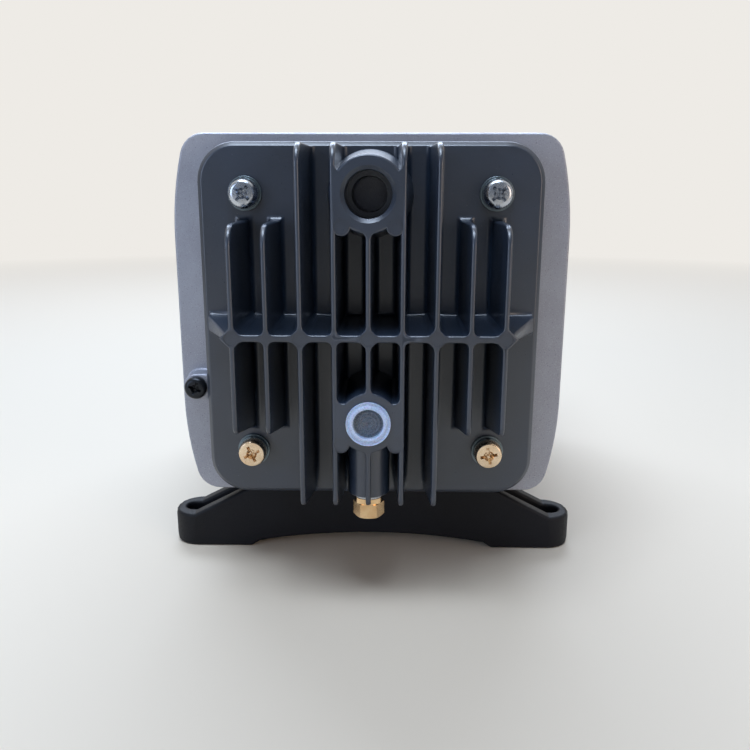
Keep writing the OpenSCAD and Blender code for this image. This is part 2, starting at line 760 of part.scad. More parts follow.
module front_housing() color(light_cast) difference() {
    union() {
        difference() {
            casing(y_front, front_len, -foot_y);
            along_y(y_wall, front_len) polygon(body_outline(cavity_inset));
        }
        pillars(y_front, front_len);
        foot_bosses(-foot_y);
        rod_along_y(ground_x, ground_z, y_front - ground_boss_len, ground_boss_len + blend, ground_boss_r);
        block([ground_x, y_front - ground_boss_len, ground_z - ground_boss_r],
            [-head_w / 2 - ground_gap, y_front + blend, ground_z + ground_boss_r]);
    }
    rod_along_y(0, axis_z, y_front - cut, cut + front_wall - barrel_ledge, barrel_flange_r + seat_gap);
    rod_along_y(0, axis_z, y_front, front_wall + cut, barrel_flange_r - barrel_ledge + seat_gap);
    four(head_screw_dx / 2, head_screw_dz / 2)
        rod_along_y(0, 0, y_front - cut, cut + head_screw_reach + blend, m5_r + seat_gap);
    four(pillar_dx, pillar_dz)
        rod_along_y(0, 0, y_joint - bolt_thread_len, bolt_thread_len + cut, m5_r + seat_gap);
    rod_along_y(ground_x, ground_z, y_front - ground_boss_len - cut, cut + m4_len + blend, m4_r + seat_gap);
    foot_taps(-foot_y);
}

module ground_screw() color(black_steel) translate([ground_x, y_front - ground_boss_len, ground_z])
    pan_screw(m4_r, m4_len, m4_head_r, m4_head_h, ground_screw_turn);

module valve_plate() color(steel) difference() {
    rod_along_y(0, axis_z, y_front, valve_plate_t, valve_plate_r);
    rod_along_y(0, axis_z + valve_offset, y_valve - valve_pocket, valve_pocket + cut, valve_pocket_r);
    rod_along_y(0, axis_z + valve_offset, y_front - cut, valve_plate_t, valve_seat_r);
    rod_along_y(0, axis_z - valve_offset, y_front - cut, valve_pocket + cut, valve_pocket_r);
    rod_along_y(0, axis_z - valve_offset, y_front + cut, valve_plate_t, valve_seat_r);
}

module suction_valve() color(steel)
    rod_along_y(0, axis_z + valve_offset, y_valve - valve_pocket, valve_disc_t, valve_disc_r);
module suction_spring() color(steel)
    translate([0, y_valve - valve_pocket + valve_disc_t, axis_z + valve_offset])
        spring(valve_spring_r, valve_wire, valve_turns, valve_gap, valve_close);
module suction_retainer() color(steel)
    translate([0, y_valve - retainer_t, axis_z + valve_offset])
        washer(valve_pocket_r - seat_gap, retainer_hole_r, retainer_t);

module discharge_valve() color(steel)
    rod_along_y(0, axis_z - valve_offset, y_front + valve_pocket - valve_disc_t, valve_disc_t, valve_disc_r);
module discharge_spring() color(steel)
    translate([0, y_front + retainer_t, axis_z - valve_offset])
        spring(valve_spring_r, valve_wire, valve_turns, valve_gap, valve_close);
module discharge_retainer() color(steel)
    translate([0, y_front, axis_z - valve_offset])
        washer(valve_pocket_r - seat_gap, retainer_hole_r, retainer_t);

module cylinder_liner() color(steel) difference() {
    union() {
        rod_along_y(0, axis_z, y_valve, y_barrel - y_valve, bore_r + liner_wall);
        rod_along_y(0, axis_z, y_valve, liner_flange_t, bore_r + liner_wall + liner_flange_w);
    }
    rod_along_y(0, axis_z, y_valve - cut, front_len, bore_r);
}

// Backs the liner and holds the valve plate; its stepped flange sits in the housing's front wall
module cylinder_barrel() color(light_cast) difference() {
    union() {
        rod_along_y(0, axis_z, y_front, front_wall - barrel_ledge, barrel_flange_r);
        rod_along_y(0, axis_z, y_front, front_wall, barrel_flange_r - barrel_ledge);
        rod_along_y(0, axis_z, y_front, y_barrel - y_front, bore_r + liner_wall + barrel_wall);
    }
    rod_along_y(0, axis_z, y_front - cut, cut + valve_plate_t, valve_plate_r + seat_gap);
    rod_along_y(0, axis_z, y_front, valve_plate_t + liner_flange_t,
        bore_r + liner_wall + liner_flange_w + seat_gap);
    rod_along_y(0, axis_z, y_front, front_len, bore_r + liner_wall + seat_gap);
}

module piston() color(light_cast) difference() {
    rod_along_y(0, axis_z, piston_y, piston_len, piston_r);
    difference() {
        rod_along_y(0, axis_z, rod_y, piston_len, piston_r - skirt_wall);
        rod_along_y(0, axis_z, rod_y - cut, socket_len + cut, rod_r + socket_wall);
    }
    rod_along_y(0, axis_z, rod_y, piston_len, rod_r + seat_gap);
    rod_along_y(0, axis_z, piston_y - cut, piston_len, piston_screw_r + seat_gap);
    rod_along_y(0, axis_z, piston_y - seat_gap, piston_sink + seat_gap, piston_screw_head_r + seat_gap,
        piston_screw_r + seat_gap);
    groove(piston_y + ring_set, ring_w + 2 * ring_gap, ring_t + ring_gap);
    groove(piston_y + guide_set, guide_w + 2 * ring_gap, guide_t + ring_gap);
}
module groove(y, w, deep) difference() {
    rod_along_y(0, axis_z, y, w, piston_r + cut);
    rod_along_y(0, axis_z, y - cut, w + 2 * cut, piston_r - deep);
}

module piston_screw() color(steel) difference() {
    union() {
        rod_along_y(0, axis_z, piston_y, piston_sink, piston_screw_head_r, piston_screw_r);
        rod_along_y(0, axis_z, piston_y, piston_screw_len, piston_screw_r);
    }
    for (a = [0, 90]) translate([0, piston_y, axis_z]) rotate([0, a, 0])
        block([-cross_len_share * piston_screw_head_r, -cut, -cross_w_share * piston_screw_head_r],
            [cross_len_share * piston_screw_head_r, piston_sink / 2, cross_w_share * piston_screw_head_r]);
}

// A split ring that rides on the bore
module split_ring(y, w, t) difference() {
    rod_along_y(0, axis_z, y, w, bore_r - run_gap);
    rod_along_y(0, axis_z, y - cut, w + 2 * cut, bore_r - run_gap - t);
    block([-ring_split / 2, y - cut, axis_z], [ring_split / 2, y + w + cut, axis_z + bore_r]);
}
module piston_ring() color(ptfe) split_ring(piston_y + ring_set + ring_gap, ring_w, ring_t);
module guide_ring() color(ptfe) split_ring(piston_y + guide_set + ring_gap, guide_w, guide_t);

module piston_rod() color(steel) difference() {
    union() {
        rod_along_y(0, axis_z, rod_y, rod_end - rod_y, rod_r);
        rod_along_y(0, axis_z, armature_y - collar_t, collar_t, collar_r);
    }
    rod_along_y(0, axis_z, rod_y - cut, cut + piston_screw_len, piston_screw_r + seat_gap);
}

module armature() color(core_grey) difference() {
    block([-pole_w / 2, armature_y, axis_z - armature_h / 2],
        [pole_w / 2, armature_end, axis_z + armature_h / 2]);
    rod_along_y(0, axis_z, armature_y - cut, armature_len + 2 * cut, rod_r + seat_gap);
}

module spring_seat() color(steel) translate([0, armature_end, axis_z])
    washer(armature_h / 2, rod_r + seat_gap, seat_t);

module rod_nut() color(steel) difference() {
    translate([0, seat_end, axis_z]) rotate([-90, 0, 0])
        cylinder(h = nut_t, r = nut_af / 2 / cos(30), $fn = 6);
    rod_along_y(0, axis_z, seat_end - cut, nut_t + 2 * cut, rod_r + seat_gap);
}

module return_spring() color(steel) translate([0, seat_end, axis_z])
    spring(spring_r, spring_wire, spring_turns, boss_y - seat_end, spring_wire + spring_close);

module stator_core() color(core_grey) difference() {
    along_y(stator_y, stator_len)
        polygon(round_box(2 * core_half_w, 2 * core_half_h, core_corner_r, 0, axis_z));
    difference() {
        block([-window_x, stator_y - cut, axis_z - window_z],
            [window_x, stator_end + cut, axis_z + window_z]);
        for (s = [0, 1]) translate([0, 0, axis_z]) mirror([0, 0, s])
            block([-pole_w / 2, stator_y - 2 * cut, pole_z],
                [pole_w / 2, stator_end + 2 * cut, window_z + cut]);
    }
    four(pillar_dx, pillar_dz) rod_along_y(0, 0, stator_y - cut, stator_len + 2 * cut, m5_hole_r);
}

module stator_spacers() color(steel) four(pillar_dx, pillar_dz) translate([0, y_joint, 0])
    washer(spacer_r, m5_hole_r, stator_y - y_joint);

// Bobbin and coil of the upper pole, about the middle of the stack
module bobbin() difference() {
    union() {
        linear_z(bobbin_low, bobbin_top) polygon(round_box(2 * coil_in, 2 * coil_in_y, bobbin_wall));
        for (z = [bobbin_low, bobbin_top - bobbin_wall]) linear_z(z, z + bobbin_wall)
            polygon(round_box(2 * (window_x - bobbin_wall), 2 * (coil_in_y + coil_thick + bobbin_over),
                bobbin_wall));
    }
    linear_z(bobbin_low - cut, bobbin_top + cut)
        square([pole_w + 2 * bobbin_gap, stator_len + 2 * bobbin_gap], center = true);
}
module coil() difference() {
    linear_z(bobbin_low + bobbin_wall, bobbin_top - bobbin_wall)
        polygon(round_box(2 * (coil_in + coil_w), 2 * (coil_in_y + coil_thick), coil_corner_r));
    linear_z(bobbin_low, bobbin_top) polygon(round_box(2 * coil_in, 2 * coil_in_y, bobbin_wall));
}
module linear_z(z0, z1) translate([0, 0, z0]) linear_extrude(z1 - z0) children();
module at_pole(s) translate([0, (stator_y + stator_end) / 2, axis_z]) mirror([0, 0, s]) children();

module upper_bobbin() color(nylon) at_pole(0) bobbin();
module lower_bobbin() color(nylon) at_pole(1) bobbin();
module upper_coil() color(copper) at_pole(0) coil();
module lower_coil() color(copper) at_pole(1) coil();

module thermal_cutout() color(nylon)
    translate([0, stator_end + cutout_set + cutout_d / 2, 0])
        linear_z(axis_z + bobbin_top, axis_z + bobbin_top + cutout_h)
            polygon(round_box(cutout_w, cutout_d, cutout_r));

module rear_housing() color(light_cast) difference() {
    union() {
        difference() {
            casing(y_rear, rear_len, foot_y);
            along_y(y_rear - cut, rear_len - web_t + cut) polygon(body_outline(cavity_inset));
        }
        pillars(stator_end, y_web - stator_end);
        rod_along_y(0, axis_z, boss_y, bush_boss_len, bush_boss_r);
        foot_bosses(foot_y);
    }
    rod_along_y(0, axis_z, boss_y - cut, bush_boss_len + 2 * cut, rod_r + bush_wall + seat_gap);
    four(pillar_dx, pillar_dz) rod_along_y(0, 0, stator_y, y_web - stator_y + cut, m5_hole_r);
    for (s = [-1, 1]) block([s * web_slot_x - web_slot_w / 2, y_web - web_t - cut, axis_z],
        [s * web_slot_x + web_slot_w / 2, y_web + cut, axis_z + web_slot_h]);
    for (f = fixings)
        rod_along_y(f.x, f.y, y_web - web_t - cut, web_t + 2 * cut, term_screw_r + seat_gap);
    foot_taps(foot_y);
}

module housing_gasket() color(gasket_grey) joint_ring(y_joint);
module cover_gasket() color(gasket_grey) difference() {
    union() {
        joint_ring(y_web);
        pillars(y_web, gasket_t);
    }
    four(pillar_dx, pillar_dz) rod_along_y(0, 0, y_web - cut, gasket_t + 2 * cut, m5_hole_r);
}
module joint_ring(y) difference() {
    along_y(y, gasket_t) polygon(body_outline(0));
    along_y(y - cut, gasket_t + 2 * cut) polygon(body_outline(cavity_inset));
}

module rear_bush() color(brass_gold) difference() {
    rod_along_y(0, axis_z, boss_y, bush_boss_len, rod_r + bush_wall);
    rod_along_y(0, axis_z, boss_y - cut, bush_boss_len + 2 * cut, rod_r + run_gap);
}

module rear_cover() color(light_cast) difference() {
    union() {
        difference() {
            union() {
                along_y(y_cover, cover_len - cover_edge) polygon(body_outline(0));
                hull() for (a = [0:30:90])
                    along_y(y_back - cover_edge * (1 - sin(a)) - seat_gap, seat_gap)
                        polygon(body_outline(cover_edge * (1 - cos(a))));
            }
            along_y(y_cover - cut, cover_len + cut - wall) polygon(body_outline(cavity_inset));
        }
        pillars(y_cover, cover_len - wall / 2);
    }
    four(pillar_dx, pillar_dz) {
        rod_along_y(0, 0, y_cover - cut, cover_len, m5_hole_r);
        rod_along_y(0, 0, y_back - bolt_pocket, bolt_pocket + cut, bolt_pocket_r);
    }
    for (k = [0:slot_count - 1]) translate([(k - (slot_count - 1) / 2) * slot_pitch, 0, 0])
        along_y(y_back - 2 * wall, 3 * wall)
            polygon(round_box(slot_w, slot_h, slot_w / 2 - seat_gap, 0, axis_z));
    rod_along_x(gland_y, gland_z, side_x - 2 * cavity_inset, 3 * cavity_inset, gland_neck_r + gland_gap);
}

// A cylinder or cone along +X from x0 at (y, z)
module rod_along_x(y, z, x0, length, r, r_end = undef)
    translate([x0, y, z]) rotate([0, 90, 0]) cylinder(h = length, r1 = r, r2 = is_undef(r_end) ? r : r_end);

module cover_bolts() color(zinc) four(pillar_dx, pillar_dz)
    translate([0, y_back - bolt_pocket + flat_washer_t, 0]) rotate(180)
        pan_screw(m5_r, y_back - bolt_pocket + flat_washer_t - y_joint + bolt_thread_len - rod_back,
            m5_head_r, m5_head_h);

module cover_bolt_washers() color(zinc) four(pillar_dx, pillar_dz) translate([0, y_back - bolt_pocket, 0])
    washer(flat_washer_r, m5_hole_r, flat_washer_t);

module cable_gland() color(black_steel) difference() {
    union() {
        rod_along_x(gland_y, gland_z, side_x - cavity_inset - gland_nut_t - cut,
            cavity_inset + gland_nut_t + cut + blend, gland_neck_r);
        rod_along_x(gland_y, gland_z, side_x, gland_flange_t, gland_flange_r);
        rod_along_x(gland_y, gland_z, side_x + gland_flange_t - blend, gland_out + blend, gland_neck_r,
            gland_tip_r);
    }
    rod_along_x(gland_y, gland_z, side_x - 2 * gland_flange_r, 4 * gland_flange_r, gland_bore_r);
}

module gland_nut() color(black_steel) difference() {
    translate([side_x - cavity_inset - gland_nut_t, gland_y, gland_z]) rotate([0, 90, 0])
        cylinder(h = gland_nut_t, r = gland_nut_af / 2 / cos(30), $fn = 6);
    rod_along_x(gland_y, gland_z, side_x - 2 * gland_flange_r, 2 * gland_flange_r, gland_neck_r + seat_gap);
}

module terminal_block() color(nylon) difference() {
    union() {
        block([block_x - block_w / 2, y_web, block_z - block_h / 2],
            [block_x + block_w / 2, y_web + block_t, block_z + block_h / 2]);
        for (s = [-1, 1]) block([block_x + s * fence_x - block_fence / 2, y_web, block_z - block_h / 2],
            [block_x + s * fence_x + block_fence / 2, y_web + block_t + block_rise,
                block_z + block_h / 2]);
    }
    for (k = [-1:1]) rod_along_y(block_x + k * term_pitch, block_z, y_web + block_t - term_len - blend,
        term_len + 2 * blend, term_screw_r + seat_gap);
    for (k = [0, 1]) rod_along_y(fixings[k].x, block_z, y_web - cut, block_t + 2 * cut,
        term_screw_r + seat_gap);
}

// A small screw along -Y with its head on the face at y
module small_screw(x, z, y, length) difference() {
    union() {
        rod_along_y(x, z, y, term_head_h, term_head_r);
        rod_along_y(x, z, y - length, length + blend, term_screw_r);
    }
    translate([x, y, z]) block([-term_head_r, term_head_h / 2, -slot_share * term_head_r],
        [term_head_r, term_head_h + cut, slot_share * term_head_r]);
}

module terminal_screws() color(brass_gold) for (k = [-1:1])
    small_screw(block_x + k * term_pitch, block_z, y_web + block_t, term_len);

module fixing_screws() color(zinc) for (f = fixings)
    small_screw(f.x, f.y, y_web + f.z, f.z + web_t - blend);

module rectifier() color(black_steel) difference() {
    translate([0, y_web, 0]) along_y(0, rect_t) polygon(round_box(rect_w, rect_w, rect_r, rect_x, rect_z));
    rod_along_y(rect_x, rect_z, y_web - cut, rect_t + 2 * cut, term_screw_r + seat_gap);
}

module rating_plate() color(zinc)
    translate([0, (y_rear + y_web) / 2, 0]) linear_z(body_top - waist, body_top - waist + plate_t)
        polygon(round_box(plate_w, plate_d, plate_corner_r));

// Underside of a foot: two pads, a step inside each, and a shallow arch between them
function arch() = [for (i = [0:arch_steps]) let (k = 2 * i / arch_steps - 1)
    [k * (arch_pad - arch_slant), arch_step + (arch_rise - arch_step) * (1 - k * k)]];

module foot(y) color(rubber_black) difference() {
    intersection() {
        along_y(y - foot_depth / 2, foot_depth) polygon(concat(
            rounded([arch()[0], [-arch_pad, 0], [-foot_end, 0], [-foot_end, lug_h],
                [-arm_start, lug_h], [-arm_top_x, body_low], [arm_top_x, body_low], [arm_start, lug_h],
                [foot_end, lug_h], [foot_end, 0], [arch_pad, 0], arch()[arch_steps]],
                [0, 0, foot_low_r, lug_edge_r, lug_edge_r, 0, 0, lug_edge_r, lug_edge_r, foot_low_r, 0, 0]),
            [for (i = [arch_steps - 1:-1:1]) arch()[i]]));
        translate([0, y, 0]) linear_z(0, body_low)
            polygon(round_box(2 * foot_end, foot_depth, foot_depth / 2 - seat_gap));
    }
    for (s = [-1, 1]) {
        translate([s * hole_pitch / 2, y, 0]) {
            translate([0, 0, -cut]) cylinder(h = lug_h + 2 * cut, r = foot_hole_r);
            translate([0, 0, channel_floor]) cylinder(h = lug_h, r = channel_w / 2);
        }
        intersection() {
            along_y(y - channel_w / 2, channel_w) polygon([[s * hole_pitch / 2, channel_floor],
                [s * arm_start, lug_h - channel_depth],
                [s * channel_end, lug_h - channel_depth + (arm_start - channel_end) * arm_rise_share],
                [s * channel_end, body_low + cut], [s * hole_pitch / 2, body_low + cut]]);
            linear_z(0, body_low) square(4 * foot_end, center = true);
        }
        translate([s * foot_screw_x, y, -cut]) {
            cylinder(h = foot_counter_z + cut, r = foot_counter_r);
            cylinder(h = body_low + 2 * cut, r = sleeve_r + seat_gap);
        }
    }
}
module front_foot() foot(-foot_y);
module rear_foot() foot(foot_y);

// Repeats at the four foot screws, at a height
module at_foot_screws(z) for (sx = [-1, 1], sy = [-1, 1])
    translate([sx * foot_screw_x, sy * foot_y, z]) rotate([90, 0, 0]) children();

module foot_sleeves() color(zinc) at_foot_screws(foot_counter_z)
    washer(sleeve_r, m5_hole_r, body_low - foot_counter_z);
module foot_washers() color(zinc) at_foot_screws(foot_counter_z - foot_washer_t)
    washer(foot_washer_r, m5_hole_r, foot_washer_t);
module foot_screws() color(zinc) at_foot_screws(foot_counter_z - foot_washer_t)
    pan_screw(m5_r, body_low - foot_counter_z + foot_washer_t + foot_screw_reach, m5_head_r, m5_head_h);

head_cover();
head_screws();
head_spring_washers();
head_flat_washers();
head_gasket();
port_cap();
drain_plug();
drain_washer();
front_housing();
ground_screw();
valve_plate();
suction_valve();
suction_spring();
suction_retainer();
discharge_valve();
discharge_spring();
discharge_retainer();
cylinder_liner();
cylinder_barrel();
piston();
piston_screw();
piston_ring();
guide_ring();
piston_rod();
armature();
spring_seat();
rod_nut();
return_spring();
stator_core();
stator_spacers();
upper_bobbin();
lower_bobbin();
upper_coil();
lower_coil();
thermal_cutout();
rear_housing();
housing_gasket();
rear_bush();
cover_gasket();
rear_cover();
cover_bolts();
cover_bolt_washers();
cable_gland();
gland_nut();
terminal_block();
terminal_screws();
rectifier();
fixing_screws();
rating_plate();
front_foot();
rear_foot();
foot_sleeves();
foot_screws();
foot_washers();
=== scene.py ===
# Linear compressor: the looks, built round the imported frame. Lengths are in millimetres while a piece is
# modelled, and each finished piece is scaled to metres.
import bpy
import bmesh
import math
from mathutils import Matrix, Vector


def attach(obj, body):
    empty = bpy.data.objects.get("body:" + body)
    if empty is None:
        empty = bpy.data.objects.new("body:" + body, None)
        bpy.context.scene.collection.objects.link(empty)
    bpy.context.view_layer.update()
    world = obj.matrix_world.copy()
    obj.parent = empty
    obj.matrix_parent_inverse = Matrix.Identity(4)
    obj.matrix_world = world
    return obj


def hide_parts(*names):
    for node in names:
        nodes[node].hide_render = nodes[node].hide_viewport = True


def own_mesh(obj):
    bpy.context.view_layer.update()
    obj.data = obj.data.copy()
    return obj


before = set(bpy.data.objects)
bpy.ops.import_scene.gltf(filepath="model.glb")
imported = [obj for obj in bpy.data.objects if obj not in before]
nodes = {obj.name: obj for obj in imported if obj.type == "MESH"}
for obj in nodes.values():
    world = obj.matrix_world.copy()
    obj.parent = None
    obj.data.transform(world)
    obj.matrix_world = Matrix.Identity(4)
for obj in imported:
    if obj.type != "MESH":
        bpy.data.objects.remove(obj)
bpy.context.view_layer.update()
print("frame loaded:", len(nodes), "nodes")

# ---- camera, floor and light
cameraSetup = {
    "place": (0.005545, -0.307722, 0.124753),
    "yaw": 0.9935, "pitch": 13.702, "roll": 0.1384,   # degrees; pitch looks down
    "lens": 36.0, "sensor": 36.0,
}


def aimCamera(setup):
    yaw, pitch, roll = (math.radians(setup[k]) for k in ("yaw", "pitch", "roll"))
    right = Vector((math.cos(yaw), math.sin(yaw), 0))
    ahead = Vector((-math.sin(yaw), math.cos(yaw), 0))
    up = math.sin(pitch) * ahead + math.cos(pitch) * Vector((0, 0, 1))
    ahead = math.cos(pitch) * ahead - math.sin(pitch) * Vector((0, 0, 1))
    right, up = (math.cos(roll) * right + math.sin(roll) * up,
                 math.cos(roll) * up - math.sin(roll) * right)
    turn = Matrix((right, up, -ahead)).transposed().to_4x4()
    return Matrix.Translation(setup["place"]) @ turn


cameraData = bpy.data.cameras.new("camera")
cameraData.lens = cameraSetup["lens"]
cameraData.sensor_width = cameraSetup["sensor"]
cameraData.clip_start = 0.01
camera = bpy.data.objects.new("camera", cameraData)
camera.matrix_world = aimCamera(cameraSetup)
bpy.context.scene.collection.objects.link(camera)
bpy.context.scene.camera = camera
bpy.context.scene.view_settings.view_transform = "Standard"


def linear(hexText):
    # sRGB hex to the linear values that the shaders use
    values = [int(hexText[i:i + 2], 16) / 255 for i in (1, 3, 5)]
    return [v / 12.92 if v <= 0.04045 else ((v + 0.055) / 1.055) ** 2.4 for v in values] + [1]


def addNode(tree, kind, inputs=None, **settings):
    node = tree.nodes.new(kind)
    for name, value in settings.items():
        setattr(node, name, value)
    for name, value in (inputs or {}).items():
        socket = node.inputs[name]
        if isinstance(value, bpy.types.NodeSocket):
            tree.links.new(value, socket)
        else:
            socket.default_value = value
    return node


# ---- materials
mm = 0.001


def newMaterial(name):
    material = bpy.data.materials.new(name)
    material.use_nodes = True
    tree = material.node_tree
    shader = tree.nodes["Principled BSDF"]
    place = addNode(tree, "ShaderNodeTexCoord").outputs["Object"]
    return material, tree, shader, place


def noiseAt(tree, place, size, detail, rough, stretch=(1, 1, 1)):
    # noise whose blobs are about size mm across
    spread = addNode(tree, "ShaderNodeMapping", {"Vector": place, "Scale": stretch})
    return addNode(tree, "ShaderNodeTexNoise", {"Vector": spread.outputs[0], "Scale": 1 / (size * mm),
        "Detail": detail, "Roughness": rough}).outputs["Fac"]


def spanOf(tree, value, low, high, outLow=0.0, outHigh=1.0):
    return addNode(tree, "ShaderNodeMapRange", {0: value, 1: low, 2: high, 3: outLow, 4: outHigh},
        clamp=True).outputs[0]


def mixed(tree, factor, first, second):
    return addNode(tree, "ShaderNodeMix", {0: factor, 6: first, 7: second}, data_type="RGBA").outputs[2]


def lengthOf(tree, vector):
    return addNode(tree, "ShaderNodeVectorMath", {0: vector}, operation="LENGTH").outputs["Value"]


# between which values of its noise a tint or a grain sets in, and how wide the edge of a fleck or pit is
recipe = {
    "tintFrom": 0.32, "tintTo": 0.68, "tintDetail": 3, "tintRough": 0.55,
    "grainFrom": 0.3, "grainTo": 0.7, "grainDetail": 4, "grainRough": 0.6,
    "fleckSpan": 0.12, "fleckDetail": 1, "fleckRough": 0.4, "pitSpan": 0.1, "pitDetail": 2, "pitRough": 0.5,
    "discFrom": 0.94,
}


def surface(name, look):
    # one recipe for the whole machine: broad tint, grain, flecks and bump, all from Object coordinates
    material, tree, shader, place = newMaterial(name)
    stretch = look.get("stretch", (1, 1, 1))
    broad = noiseAt(tree, place, look["tintSize"], recipe["tintDetail"], recipe["tintRough"], stretch)
    colour = mixed(tree, spanOf(tree, broad, recipe["tintFrom"], recipe["tintTo"]),
        linear(look["colour"]), linear(look["tint"]))
    grain = noiseAt(tree, place, look["grain"], recipe["grainDetail"], recipe["grainRough"], stretch)
    if "fleck" in look:
        fleck = noiseAt(tree, place, look["fleckSize"], recipe["fleckDetail"], recipe["fleckRough"])
        colour = mixed(tree, spanOf(tree, fleck, look["fleckFrom"], look["fleckFrom"] + recipe["fleckSpan"]),
            colour, linear(look["fleck"]))
    if "disc" in look:
        # thin round floor in the middle: painted shade, darker where the dark bore behind it would show
        # through
        flat = addNode(tree, "ShaderNodeVectorMath", {0: place, 1: look["discCentre"]}, operation="SUBTRACT")
        flat = addNode(tree, "ShaderNodeVectorMath", {0: flat.outputs[0], 1: (1, 0, 1)}, operation="MULTIPLY")
        far = lengthOf(tree, flat.outputs[0])
        edge = look["discRadius"] * mm
        colour = mixed(tree, spanOf(tree, far, recipe["discFrom"] * edge, edge), linear(look["disc"]), colour)
    if "pit" in look:
        pit = noiseAt(tree, place, look["pitSize"], recipe["pitDetail"], recipe["pitRough"])
        colour = mixed(tree, spanOf(tree, pit, look["pitFrom"], look["pitFrom"] + recipe["pitSpan"]),
            colour, linear(look["pit"]))
    rough = spanOf(tree, grain, recipe["grainFrom"], recipe["grainTo"], look["rough"] - look["roughSpread"],
        look["rough"] + look["roughSpread"])
    bump = addNode(tree, "ShaderNodeBump", {"Strength": look["bump"], "Distance": look["relief"] * mm,
        "Height": grain})
    tree.links.new(colour, shader.inputs["Base Color"])
    tree.links.new(rough, shader.inputs["Roughness"])
    tree.links.new(bump.outputs[0], shader.inputs["Normal"])
    shader.inputs["Metallic"].default_value = look.get("metallic", 0.0)
    for socket in ("Specular IOR Level", "Transmission Weight", "Subsurface Weight", "Subsurface Scale",
                   "IOR"):
        if socket in look:
            shader.inputs[socket].default_value = look[socket]
    return material


